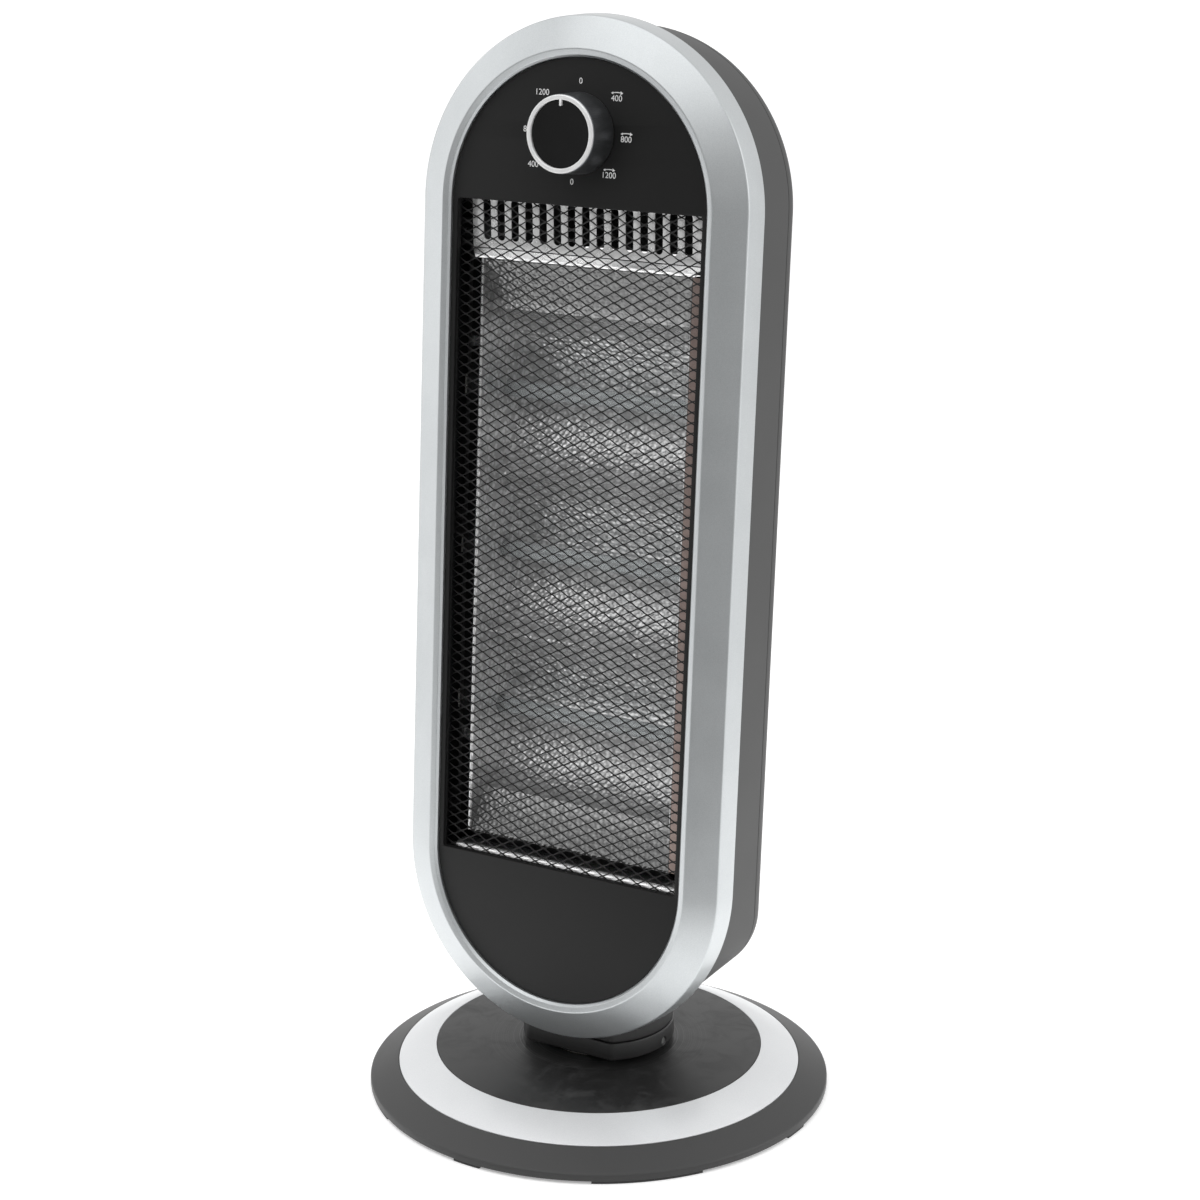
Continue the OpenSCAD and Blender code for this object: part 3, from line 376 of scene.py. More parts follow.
# finishes of single pieces, which differ from the slot they stand in
# the base cover's finish carries painted shade on its upright rim
coverRimShadeFinish = mouldedPlastic("coverPlasticRimShade", 46, 60, 0.42, 0.55, 0.03, rim=0.85)
ringFinish = silverLacquer("ringLacquer", tint(206, 208, 210), tint(234, 235, 236), 0.35, 0.36)
bendFinish = brightBend()
stripFinish = brightMetal("stripSheet", grey(238), grey(252), 0.16, 0.6, 0.006, 0.45)
flangeFinish = brightMetal("flangeSheet", tint(128, 112, 107), tint(176, 160, 154),
                           0.34, 0.6, 0.012)
# a dark finish for the low fold: painted shade of the gap above the rolled lip
foldShadeFinish = brightMetal("foldSheetPaintedShade", grey(34), grey(58), 0.3, 0.6, 0.012)
neckFinish = mouldedPlastic("neckBlack", 24, 38, 0.34, 0.6, 0.03)
printFinish = dialPrint()


def rounded(points, radii, steps=5, closed=True):
    # corners of a flat outline rounded by the given radii
    out, n = [], len(points)
    for i, (point, radius) in enumerate(zip(points, radii)):
        p = np.array(point, float)
        if radius <= 0 or (not closed and i in (0, n - 1)):
            out.append(p)
            continue
        a, b = np.array(points[i - 1], float) - p, np.array(points[(i + 1) % n], float) - p
        la, lb = np.linalg.norm(a), np.linalg.norm(b)
        a, b = a / la, b / lb
        half = math.acos(max(-1, min(1, float(a @ b)))) / 2
        cutBack = min(radius / math.tan(half), la * 0.49, lb * 0.49)
        radius = cutBack * math.tan(half)
        middle = p + (a + b) / np.linalg.norm(a + b) * radius / math.sin(half)
        start, end = p + a * cutBack - middle, p + b * cutBack - middle
        turn = math.acos(max(-1, min(1, float(start @ end) / radius ** 2)))
        for k in range(steps + 1):
            t = k / steps
            out.append(middle + (math.sin((1 - t) * turn) * start + math.sin(t * turn) * end)
                       / math.sin(turn))
    return np.array(out)


def finishMesh(name, shape, slotName, body, replaced=(), material=None, sharp=32):
    # a named piece from a mesh, or from points and faces, with edges over the sharp angle kept
    mesh = meshFrom(name, *shape) if isinstance(shape, tuple) else shape
    mesh.validate()
    made = bmesh.new()
    made.from_mesh(mesh)
    bmesh.ops.remove_doubles(made, verts=made.verts, dist=0.002 * mm)
    bmesh.ops.recalc_face_normals(made, faces=made.faces)
    made.to_mesh(mesh)
    made.free()
    mesh.shade_smooth()
    mesh.set_sharp_from_angle(angle=math.radians(sharp))
    piece = addObject(name, mesh)
    mesh.materials.clear()
    mesh.materials.append(material or finish[slotName])
    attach(piece, body)
    if replaced:
        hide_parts(*replaced)
    return piece


def meshFrom(name, points, faces):
    # points in mm, faces all quads in one array, or lists of any size
    mesh = bpy.data.meshes.new(name)
    mesh.from_pydata((np.asarray(points).reshape(-1, 3) * mm).tolist(), [],
                     faces.tolist() if hasattr(faces, "tolist") else faces)
    return mesh


def gridFaces(rows, cols, wrapRows, wrapCols):
    r = np.arange(rows if wrapRows else rows - 1)
    c = np.arange(cols if wrapCols else cols - 1)
    r, c = np.meshgrid(r, c, indexing="ij")
    r2, c2 = (r + 1) % rows, (c + 1) % cols
    quads = np.stack([r * cols + c, r * cols + c2, r2 * cols + c2, r2 * cols + c], -1)
    return quads.reshape(-1, 4)


def hoop(rings):
    # closed form through equal rings, the last of them joined to the first
    grid = np.array(rings)
    return grid, gridFaces(*grid.shape[:2], True, True)


def bar(lines):
    # closed form from equal lines that run side by side round its section
    grid = np.array(lines)
    rows, cols = grid.shape[:2]
    ends = [[i * cols for i in range(rows)], [i * cols + cols - 1 for i in range(rows)][::-1]]
    return grid, gridFaces(rows, cols, True, False).tolist() + ends


def drum(rings):
    # closed form through equal rings of points, with a lid at each end
    grid = np.array(rings)
    rows, cols = grid.shape[:2]
    faces = gridFaces(rows, cols, False, True).tolist()
    faces += [list(range(cols))[::-1], list(range((rows - 1) * cols, rows * cols))]
    # faces outwards, whichever way the rings run, or it would cut nothing
    p = grid.reshape(-1, 3) - grid.reshape(-1, 3).mean(0)
    volume = sum(np.dot(p[f[0]], np.cross(p[f[k]], p[f[k + 1]]))
                 for f in faces for k in range(1, len(f) - 1))
    return grid, faces if volume > 0 else [f[::-1] for f in faces]


def lathe(profile, turns=288, angles=None):
    # profile of (radius, height) turned about the upright axis
    profile = np.asarray(profile, float)
    a = np.linspace(0, 2 * math.pi, turns, endpoint=False) if angles is None else angles
    grid = np.zeros((len(profile), len(a), 3))
    grid[..., :2] = profile[:, None, :1] * np.stack([np.cos(a), np.sin(a)], -1)[None]
    grid[..., 2] = profile[:, 1:2]
    return hoop(grid)


def stadiumLoop(radius, y, half=96):
    low = np.linspace(math.pi, 2 * math.pi, half + 1)
    top = np.linspace(0, math.pi, half + 1)
    x = np.concatenate([np.cos(low), np.cos(top)]) * radius
    z = np.concatenate([np.sin(low) * radius, np.sin(top) * radius + head["span"]])
    return np.stack([x, np.full_like(x, y), z], -1)


def circle(radius, x=0, y=0, n=64):
    a = np.linspace(0, 2 * math.pi, n, endpoint=False)
    return np.stack([x + radius * np.cos(a), y + radius * np.sin(a)], -1)


def boxOutline(x0, x1, z0, z1, radius, steps=6):
    return rounded([(x0, z0), (x1, z0), (x1, z1), (x0, z1)], [radius] * 4, steps)


def settled(body, *others):
    # the mesh with its modifiers applied, without the objects that made it
    bpy.context.view_layer.update()
    view = bpy.context.evaluated_depsgraph_get()
    made = bpy.data.meshes.new_from_object(body.evaluated_get(view))
    for thing in (body, *others):
        bpy.data.objects.remove(thing)
    return made


def flatPlate(name, outlines, thick, edge):
    # closed outlines in a plane, the first the outside and the rest holes, with rounded edges
    data = bpy.data.curves.new(name, "CURVE")
    data.dimensions = "2D"
    data.fill_mode = "BOTH"
    data.extrude = (thick / 2 - edge) * mm
    data.bevel_depth = edge * mm
    data.bevel_resolution = 2
    data.offset = -edge * mm
    for outline in outlines:
        spline = data.splines.new("POLY")
        n = len(outline)
        spline.points.add(n - 1)
        spline.points.foreach_set("co", np.concatenate(
            [np.asarray(outline) * mm, np.zeros((n, 1)), np.ones((n, 1))], 1).ravel())
        spline.use_cyclic_u = True
    return settled(addObject(name, data))


def onHead(y, x=0, z=0):
    # drawn in (x, z) of the head and standing on its plane y
    place = Matrix.Translation((x * mm, y * mm, z * mm))
    return headPlace @ place @ Matrix.Rotation(math.pi / 2, 4, "X")


def joined(parts):
    # several (points, faces) as one
    points, faces, start = [], [], 0
    for p, f in parts:
        p = np.asarray(p).reshape(-1, 3)
        points.append(p)
        faces += [[i + start for i in face] for face in (f.tolist() if hasattr(f, "tolist") else f)]
        start += len(p)
    return np.concatenate(points), faces


def carve(mesh, tools):
    # cuts the closed forms in tools out of a closed mesh
    body, tool = addObject("work", mesh), addObject("work", tools)
    cut = body.modifiers.new("cut", "BOOLEAN")
    cut.operation, cut.object, cut.solver = "DIFFERENCE", tool, "EXACT"
    return settled(body, tool)


def thicken(mesh, thick):
    # a sheet's front face given its thickness, towards the back
    body = addObject("work", mesh)
    wall = body.modifiers.new("wall", "SOLIDIFY")
    wall.thickness, wall.offset, wall.use_even_offset = thick * mm, -1, False
    return settled(body)


base = {
    "rimRadius": 140, "rimBottom": 1.8, "rimTop": 6.2, "wall": 2.4,
    "ringOut": 122.3, "ringIn": 99.3, "ringLow": 15.3, "ringHigh": 24.4, "ringThick": 1.5,
    "seatDeep": 1.6, "seatGap": 0.12,  # seat of the ring
    "shelfRadius": 93.3, "shelfHigh": 18.2,  # the cover's inner edge, under the disc
    "discHole": 30, "discFlat": 48, "discHigh": 27.6, "discGap": 0.15,
    "slopeFrom": 121, "slopeStep": 0.8,
    "humpRadius": 5.6, "humpHeight": 7.8, "humpStart": 126, "humpTurn": 15,
}


def coverProfile():
    b, w = base, base["wall"]
    seat, seatOut = b["ringLow"] - b["seatDeep"], b["ringOut"] + b["seatGap"]
    outer = rounded([
        (b["shelfRadius"], b["shelfHigh"]), (b["ringOut"] - 1.2, seat), (seatOut, seat),
        (seatOut, b["ringLow"]), (b["rimRadius"], b["rimTop"]),
        (b["rimRadius"], b["rimBottom"]), (b["rimRadius"] - w, b["rimBottom"]),
        (b["rimRadius"] - w, b["rimTop"] - 1.4), (b["ringOut"] - 0.6, seat - w),
        (b["shelfRadius"], b["shelfHigh"] - w)], [0, 0, 0, 0.5, 1.4, 0.5, 0, 0, 0, 0])
    # more steps down the slope, so that the hump can rise out of it
    dense = [outer[0]]
    for p, q in zip(outer, outer[1:]):
        onSlope = q[0] > max(p[0], b["slopeFrom"]) and p[1] > b["rimBottom"] + 0.1
        n = max(1, int(np.linalg.norm(q - p) / b["slopeStep"])) if onSlope else 1
        dense += [p + (q - p) * k / n for k in range(1, n + 1)]
    return dense


def makeCover():
    b = base
    # angles are closer at the back, where the cord gland's hump stands
    a = np.unique(np.concatenate([np.linspace(0, 2 * math.pi, 288, endpoint=False),
                                  np.radians(np.linspace(84, 96, 97) + b["humpTurn"])]))
    grid, faces = lathe(coverProfile(), angles=a)
    c, s = math.cos(math.radians(b["humpTurn"])), math.sin(math.radians(b["humpTurn"]))
    x, y = grid[..., 0] * c + grid[..., 1] * s, grid[..., 1] * c - grid[..., 0] * s
    z, r = grid[..., 2], b["humpRadius"]
    arch = b["humpHeight"] - 1 + np.sqrt(np.clip(r * r - x * x, 0, None))
    hump = np.where((abs(x) < r) & (y > 0), arch, -9)
    fade = np.clip((y - b["humpStart"] + 2) / 4, 0, 1)
    face = z > np.interp(np.hypot(x, y), [b["ringIn"], b["ringOut"], b["rimRadius"]],
                         [18, b["ringLow"] - 1.5, b["rimTop"] - 1.2])
    lifted = np.maximum(z, z + (hump - z) * fade)
    grid[..., 2] = np.where(face & (y > 0) & (hump > z), lifted, z)
    finishMesh("baseCover", (grid, faces), "charcoal_plastic", "base", ["base_cover"], coverRimShadeFinish)


def makeRingAndDisc():
    b, t = base, base["ringThick"]
    ring = rounded([(b["ringIn"], b["ringHigh"]), (b["ringOut"], b["ringLow"]),
                    (b["ringOut"], b["ringLow"] - t), (b["ringIn"], b["ringHigh"] - t)],
                   [0.35, 0.5, 0.3, 0.3], 4)
    finishMesh("baseRing", lathe(ring), "silver_paint", "base", ["base_ring"], ringFinish)
    edge = b["ringIn"] - b["discGap"]
    disc = rounded([(b["discHole"], b["discHigh"]), (b["discFlat"], b["discHigh"]),
                    (edge, b["ringHigh"]), (edge, b["ringHigh"] - 2),
                    (b["discFlat"], b["discHigh"] - 2.4), (b["discHole"], b["discHigh"] - 2.4)],
                   [0, 3, 0.5, 0, 0, 0])
    finishMesh("baseDisc", lathe(disc), "black_disc", "base", ["base_disc"])


pads = {"inner": 125.5, "outer": 139.5, "high": 1.8, "edge": 0.6, "turn": -2.3,
        "longAngle": 27, "shortAngle": 7.3}


def makePads():
    # four long and four short lugs under the rim
    p, parts = pads, []
    profile = rounded([(p["inner"], p["high"]), (p["outer"], p["high"]), (p["outer"], 0),
                       (p["inner"], 0)], [0, 0, p["edge"], p["edge"]], 4)
    for k in range(8):
        wide, steps = (p["longAngle"], 40) if k % 2 else (p["shortAngle"], 14)
        middle = 45 * k + p["turn"]
        a = np.radians(np.linspace(middle - wide / 2, middle + wide / 2, steps))
        parts.append(bar(lathe(profile, angles=a)[0]))
    finishMesh("footPads", joined(parts), "rubber", "base", ["foot_pads"])


neck = {"radius": 46, "flat": 35, "corner": 5, "low": 31.1, "high": 42.1,
        "screwHigh": 34.4, "screwHole": 2.6,
        "stubRadius": 45.6, "stubFlat": 34.4, "stubLow": 42.4, "stubTop": -97.9}


def neckRing(radius, flat, inward, z):
    # round with a flat front and two softened corners, drawn inwards, at the height z
    radius, flat, corner = radius - inward, flat - inward, neck["corner"] - min(inward, 3)
    a0 = math.asin(flat / radius)
    a = np.linspace(-a0, math.pi + a0, 180)
    arc = [(radius * math.cos(t), radius * math.sin(t)) for t in a]
    bent = rounded([arc[9], arc[0], arc[-1], arc[-10]], [0, corner, corner, 0], 8, False)
    loop = np.concatenate([bent[1:-1][::-1], np.array(arc[9:-9])])
    return np.column_stack([loop, np.full(len(loop), z)])


def makeCollar():
    n = neck
    high = n["high"] - n["low"]
    steps = rounded([(14, 0), (0, 0), (0, high), (14, high)], [0, 0.6, 0.9, 0], closed=False)
    mesh = meshFrom("neckCollar", *hoop([neckRing(n["radius"], n["flat"], inward, n["low"] + up)
                                         for inward, up in steps]))
    # seats of the two screws, sunk into the sides, with a widened mouth
    mouth = [(-6, -0.5), (-0.8, -0.5), (0.1, 0.3), (1, 0.6)]
    seats = []
    for side in (-1, 1):
        rings = []
        for out, grow in mouth:
            spot = circle(n["screwHole"] + grow, n=40) + (0, n["screwHigh"])
            rings.append(np.column_stack([np.full(40, side * (n["radius"] + out)), spot]))
        seats.append(drum(rings))
    mesh = carve(mesh, meshFrom("seats", *joined(seats)))
    finishMesh("neckCollar", mesh, "black_plastic", "head", ["neck_collar"])


def makeStub():
    # upper part of the neck, from the parting line up into the shells
    n, t = neck, math.radians(head["lean"])
    rings = [neckRing(n["stubRadius"], n["stubFlat"], inward, n["stubLow"] + up)
             for inward, up in rounded([(8, 0), (0, 0), (0, 2)], [0, 0.7, 0], closed=False)]
    # its top lies in the shells' bottom wall
    loop, top = rings[-1][:, :2], n["stubTop"]
    y = (loop[:, 1] + head["forward"] - top * math.sin(t)) / math.cos(t)
    rings.append(np.column_stack([loop, head["up"] + top * math.cos(t) - y * math.sin(t)]))
    finishMesh("neckStub", drum(rings), "housing_grey", "head", ["side_shell", "rear_cover"],
               neckFinish)


shell = {
    "front": 3.0, "bezelBack": 7.5, "radius": 104.2, "seam": 46.9, "seamRadius": 101.0,
    "seamGroove": 0.35, "depth": 35.0, "rounding": 32.0, "flatIn": 38.0, "wall": 2.2,
    "funnel": 40.0, "funnelLow": -25.8, "foot": 8.0, "footX": 40.8, "footLow": -90.8,
    "ventHalf": 2.0, "ventFrom": 5.0, "ventTo": 51.0, "ventZ": ((50, 130), (230, 363.1)),
    "ventPitch": 11, "ventDeep": 6, "blindDeep": 1.3,
    "screwX": 88.8, "screwZ": (20, 191.55, 363.1), "screwSeat": 5.0, "screwWay": 3.6,
    "sleeveIn": 3.5, "sleeveOut": 5.2, "shankHole": 1.7,
}


def shellArc(x, z, r, a0, a1, n, y):
    a = np.radians(np.linspace(a0, a1, n + 1))
    return np.stack([x + r * np.cos(a), np.full_like(a, y), z + r * np.sin(a)], -1)


def shellRing(y, top, side, foot, sideX, sideZ, footX, footZ):
    # round top, two rounded shoulders and two rounded corners at the foot
    return np.concatenate([
        shellArc(0, head["span"], top, 0, 180, 120, y),
        shellArc(-sideX, sideZ, side, 180, 225, 20, y),
        shellArc(-footX, footZ, foot, 225, 270, 12, y),
        shellArc(footX, footZ, foot, 270, 315, 12, y),
        shellArc(sideX, sideZ, side, 315, 360, 20, y)])


def frontRing(inward, y):
    # plain stadium at the bezel
    r = shell["radius"] - inward
    return shellRing(y, r, r, r, 0, 0, 0, 0)


def rearRing(wall, inward, y):
    # stadium with a funnel over the neck
    s = shell
    return shellRing(y, s["seamRadius"] - wall - inward, s["funnel"] - wall - inward,
                     s["foot"] - wall - 0.15 * inward, s["seamRadius"] - s["funnel"],
                     s["funnelLow"], s["footX"] - 0.3 * inward, s["footLow"])


def between(a, b, n):
    # rings in even steps from a to b
    return [a + (b - a) * k / n for k in range(n + 1)]


def makeShells():
    s, w = shell, shell["wall"]
    rings = [frontRing(0, s["front"])]
    rings += between(frontRing(0, s["bezelBack"]), rearRing(0, 0, s["seam"] - s["seamGroove"]), 14)
    rings += [rearRing(s["seamGroove"], 0, s["seam"]), rearRing(w, 0, s["seam"])]
    rings += between(rearRing(w, 0, s["seam"] - 1), frontRing(w, s["bezelBack"]), 6)
    rings.append(frontRing(w, s["front"]))
    finishMesh("sideShell", hoop(fromHead(rings)), "housing_grey", "head", ["side_shell"], sharp=40)


def coverPath(wall):
    # (inward, back) of the rear cover: a parabola that turns softly into the flat back
    s = shell
    deep = s["depth"] - wall
    path = [(s["rounding"] * t * t, deep * t) for t in np.linspace(0, 0.82, 15)]
    path += [(s["rounding"], deep), (s["flatIn"], deep)]
    return rounded(path, [0] * 15 + [18, 0], 8, False)


def ventWay(side, level, back, deep):
    # cutter of one vent, with round ends and a widened mouth
    s, rings = shell, []
    a, b = s["ventFrom"] + s["ventHalf"], s["ventTo"] - s["ventHalf"]
    turn = np.linspace(-math.pi / 2, math.pi / 2, 9)
    for out, grow in ((-deep, 0), (-0.7, 0), (0.05, 0.5), (2, 0.6)):
        u, v = (s["ventHalf"] + grow) * np.cos(turn), (s["ventHalf"] + grow) * np.sin(turn)
        rings.append(np.column_stack([np.concatenate([b + u, a - u]) * side,
                                      np.full(18, back + out), np.concatenate([v, -v]) + level]))
    return drum(rings)


def screwWay(side, level, start, end):
    # cutter that lets a screw in from behind
    spot = circle(shell["screwWay"], side * shell["screwX"], level, 48)
    return drum([np.insert(spot, 1, y, axis=1) for y in (start, end)])


def screwSleeve(side, level, start):
    # sleeve from the seam up to the cover's inside, with the seat of the screw's head in it
    s, rings = shell, []
    for radius, depth in ((s["sleeveIn"], None), (s["sleeveIn"], s["screwSeat"]),
                          (s["shankHole"], s["screwSeat"]), (s["shankHole"], 0.3),
                          (s["sleeveOut"], 0.3), (s["sleeveOut"], None)):
        spot = circle(radius, side * s["screwX"], level, 48)
        top = s["depth"] * np.sqrt((s["seamRadius"] - abs(spot[:, 0])) / s["rounding"]) - 0.9
        rings.append(np.insert(spot, 1, start + (top if depth is None else depth), axis=1))
    return hoop(rings)


def makeRearCover():
    s = shell
    start = s["seam"] + 0.02
    groove, share = s["seamGroove"], 1 - s["seamGroove"] / s["depth"]
    outer = [rearRing(groove, 0, start)] + [rearRing(0, inward, start + groove + back * share)
                                            for inward, back in coverPath(0)]
    inner = [rearRing(s["wall"], inward, start + back) for inward, back in coverPath(s["wall"])]
    grid, faces = hoop(outer + inner[::-1])
    cols = grid.shape[1]
    # the flat back, outside and inside, takes the place of the faces between the last rings
    k = (len(outer) - 1) * cols
    faces = [f for f in faces.tolist() if not k <= min(f) < k + cols or max(f) >= k + 2 * cols]
    faces += [list(range(k, k + cols)), list(range(k + cols, k + 2 * cols))[::-1]]
    mesh = meshFrom("rearCover", grid, faces)
    back = start + s["depth"]
    levels = [z for low, high in s["ventZ"] for z in np.arange(low, high + 0.1, s["ventPitch"])]
    tools, sleeves = [], []
    for side in (-1, 1):
        for level in levels:
            # the top row is blind, because light must not show through the strip's slots
            deep = s["blindDeep"] if level == levels[-1] else s["ventDeep"]
            tools.append(ventWay(side, level, back, deep))
        for level in s["screwZ"]:
            tools.append(screwWay(side, level, start + 0.1 + s["screwSeat"], back + 2))
            sleeves.append(screwSleeve(side, level, start))
    mesh = carve(mesh, meshFrom("tools", *joined(tools)))
    mesh.transform(headPlace)
    finishMesh("rearCover", mesh, "housing_grey", "head", ["rear_cover"], sharp=26)
    points, faces = joined(sleeves)
    finishMesh("screwSleeves", (fromHead(points), faces), "housing_grey", "head", ["rear_cover"],
               sharp=40)


bezel = {
    "profile": [(82.7, -13.6), (82.9, -14.9), (84.1, -16.4), (87.3, -17.3), (105.4, -8.9),
                (106.6, 7.5), (104.7, 7.5), (104.0, -7.1), (88.4, -13.9), (84.9, -14.8),
                (84.9, -9.3), (80.9, -9.3), (80.9, -11.1), (82.7, -11.1)],
    "corners": [0, 0.4, 1.0, 1.6, 1.6, 0.4, 0, 0, 0, 0, 0, 0, 0, 0],
}


def makeBezel():
    profile = rounded(bezel["profile"], bezel["corners"], 7)
    shape = hoop(fromHead([stadiumLoop(r, y) for r, y in profile]))
    finishMesh("bezel", shape, "silver_paint", "head", ["bezel"], sharp=28)


fascia = {
    "radius": 82.5, "front": -13.6, "thick": 2.5, "edge": 0.25, "windowX": 79.5,
    "windowLow": -2.0, "windowHigh": 384.2, "windowCorner": 1.2, "knobHigh": 424.5,
    "knobHole": 5.1, "wallWide": 1.2, "wallDeep": 1.85, "wallAt": -10.15,
}


def makeFascia():
    f, w = fascia, fascia["wallWide"]
    loop = stadiumLoop(f["radius"], 0)[:, [0, 2]]
    window = boxOutline(-f["windowX"], f["windowX"], f["windowLow"], f["windowHigh"],
                        f["windowCorner"])
    hole = circle(f["knobHole"], 0, f["knobHigh"])
    mesh = flatPlate("fascia", [loop, window, hole], f["thick"], f["edge"])
    mesh.transform(onHead(f["front"] + f["thick"] / 2))
    finishMesh("fascia", mesh, "fascia_black", "head", ["fascia"], sharp=30)
    # upright walls round the window, down to the guard
    outside = boxOutline(-f["windowX"] - w, f["windowX"] + w, f["windowLow"] - w,
                         f["windowHigh"] + w, 1.6)
    mesh = flatPlate("windowWall", [outside, window], f["wallDeep"], 0.2)
    mesh.transform(onHead(f["wallAt"]))
    finishMesh("windowWall", mesh, "fascia_black", "head", sharp=30)


guard = {
    "pitchX": 11.6, "pitchZ": 5.9, "strand": 0.78, "thick": 0.36, "lean": 14, "twist": 5,
    "halfWide": 82.6, "low": -4.4, "high": 385.4, "y": -8.6, "steps": 12,
    "firstRow": 0.6, "flatTop": 1.12, "soft": 0.35, "knuckle": 0.12,
}


def makeGuard():
    # zigzag strands, joined to the next at the knuckles, as slitting and stretching leaves them
    g = guard
    px, pz, steps = g["pitchX"], g["pitchZ"], g["steps"]
    count = (int(g["halfWide"] / px) + 1) * steps
    x = np.arange(-count, count + 1) / steps * px
    x = np.concatenate([[-g["halfWide"]], x[abs(x) <= g["halfWide"]], [g["halfWide"]]])
    parts = []
    for row in range(int((g["high"] - g["low"]) / (pz / 2))):
        phase = (x / px + (row % 2) * 0.5) % 1.0
        # a triangle with flat tops, softened by a share of a sine
        wave = np.clip((1 - 2 * abs(2 * phase - 1)) * g["flatTop"], -1, 1)
        wave = np.sin(wave * math.pi / 2) * g["soft"] + wave * (1 - g["soft"])
        slope = np.where(phase < 0.5, 1.0, -1.0) * np.clip((1 - abs(wave)) * 3, 0, 1)
        z = g["low"] + g["firstRow"] + row * pz / 2 + pz / 4 + wave * (pz / 4 - g["knuckle"])
        tilt = np.radians(g["lean"] + slope * g["twist"])
        c, s = np.cos(tilt), np.sin(tilt)
        lines = []
        for a, b in ((-1, -1), (1, -1), (1, 1), (-1, 1)):
            u, v = a * g["strand"] / 2, b * g["thick"] / 2
            up = np.clip(z + u * c - v * s, g["low"], g["high"])
            lines.append(np.stack([x, g["y"] + u * s + v * c, up], -1))
        parts.append(bar(lines))
    points, faces = joined(parts)
    finishMesh("guard", (fromHead(points), faces), "guard_black", "head", ["guard"], sharp=50)


reflector = {
    "halfWide": 68.5, "lipWide": 75.5, "troughBottom": 31.0, "troughHeight": 96.3,
    "troughRadius": 51.98, "troughY": -5.58, "ridge": 14.0, "dimple": 3.4, "dimpleDeep": 0.42,
    "fade": 1.2, "sheet": 0.8, "edge": -1.6, "foldLow": 7.0, "foldHigh": 349.9,
    "crease": (-2.1, 356.1), "top": (-4.4, 386.5), "brow": (-6.0, 350.6), "shelf": 6.5,
    "lipRadius": 4, "lipMiddle": (-2, -4), "lipTurn": (205, 90), "endBack": 47.4,
    "lampY": 29.4, "lampHole": 5.6,
    "slotWide": 5.0, "slotPitch": 9.4, "slots": 15, "slotLow": 363.2, "slotHigh": 382.0,
    "tabs": (62, 299.7), "tabY": 12, "tabHalf": 3, "railX": 83.1,
    "flange": 7.0, "flangeBack": 4.2, "hem": 1.8, "hemBack": 2.2,
}


def scatter(row, col, keys):
    # a shift of its own for each dimple, the same in each run
    h = np.sin(row * keys[0] + col * keys[1]) * keys[2]
    return (h - np.floor(h) - 0.5) * 0.36


def dimples(u, v, size):
    # height of a beaten surface: jittered hexagonal dimples, -1 at their centres
    high = 0.866
    nearest = np.full(u.shape, 9.0)
    firstRow = np.floor(v / (size * high))
    for stepRow in (-1, 0, 1, 2):
        row = firstRow + stepRow
        shift = (row % 2) * 0.5
        firstCol = np.floor(u / size - shift)
        for stepCol in (-1, 0, 1):
            col = firstCol + stepCol
            across = scatter(row, col, (127.1, 311.7, 43758.5453))
            along = scatter(row, col, (269.5, 183.3, 24634.6345))
            du = (col + 0.5 + shift + across) * size - u
            dv = (row + 0.5 + along) * size * high - v
            nearest = np.minimum(nearest, (du * du + dv * dv) / (size * size))
    return np.clip(nearest * 3.2, 0, 1) - 1


def lengthsOf(path):
    return np.concatenate([[0], np.cumsum(np.linalg.norm(np.diff(path, axis=0), axis=1))])


def evenPath(points, step):
    # a path cut into even steps
    points = np.asarray(points, float)
    length = lengthsOf(points)
    s = np.linspace(0, length[-1], max(2, int(length[-1] / step) + 1))
    return np.stack([np.interp(s, length, points[:, k]) for k in (0, 1)], -1)


def beat(across, along, high, wide):
    # dents of the hammered sheet, which fade out towards its edges
    r = reflector
    edge = np.minimum(wide - abs(across), np.minimum(along, high - along))
    return dimples(across, along, r["dimple"]) * r["dimpleDeep"] * np.clip(edge / r["fade"], 0, 1)


def sheetPiece(name, path, wides, stepX, beaten=False, material=None):
    # a sheet bent along an upright (y, z) path, its half width going between two values
    slant = np.gradient(path, axis=0)
    slant /= np.linalg.norm(slant, axis=1)[:, None]
    s = lengthsOf(path)
    cols = int(2 * max(wides) / stepX) + 1
    x = np.linspace(-1, 1, cols) * np.interp(s, [0, s[-1]], wides)[:, None]
    lift = beat(x, np.repeat(s[:, None], cols, 1), s[-1], wides[0]) if beaten else 0 * x
    front = np.stack([x, path[:, 0:1] - slant[:, 1:2] * lift,
                      path[:, 1:2] + slant[:, 0:1] * lift], -1)
    mesh = meshFrom(name, fromHead(front), gridFaces(len(path), cols, False, False))
    finishMesh(name, thicken(mesh, reflector["sheet"]), "bright_aluminium", "head",
               ["reflector"], material, sharp=60)


def makeReflector():
    r = reflector
    fine = 0.5
    half = math.asin(r["troughHeight"] / 2 / r["troughRadius"])
    low, high = r["troughBottom"], r["troughBottom"] + 3 * r["troughHeight"]
    bends = [[(r["edge"], r["foldLow"]), (r["ridge"], low)]]
    for k in range(3):
        middle = low + (k + 0.5) * r["troughHeight"]
        bends.append([(r["troughY"] + r["troughRadius"] * math.cos(t),
                       middle + r["troughRadius"] * math.sin(t))
                      for t in np.linspace(-half, half, 60)])
    bends.append([(r["ridge"], high), (r["edge"], r["foldHigh"])])
    # each bend is cut into even steps by itself, which keeps the ridges sharp
    path = np.concatenate([evenPath(bend, fine)[min(k, 1):] for k, bend in enumerate(bends)])
    sheetPiece("reflector", path, (r["halfWide"],) * 2, fine, beaten=True)


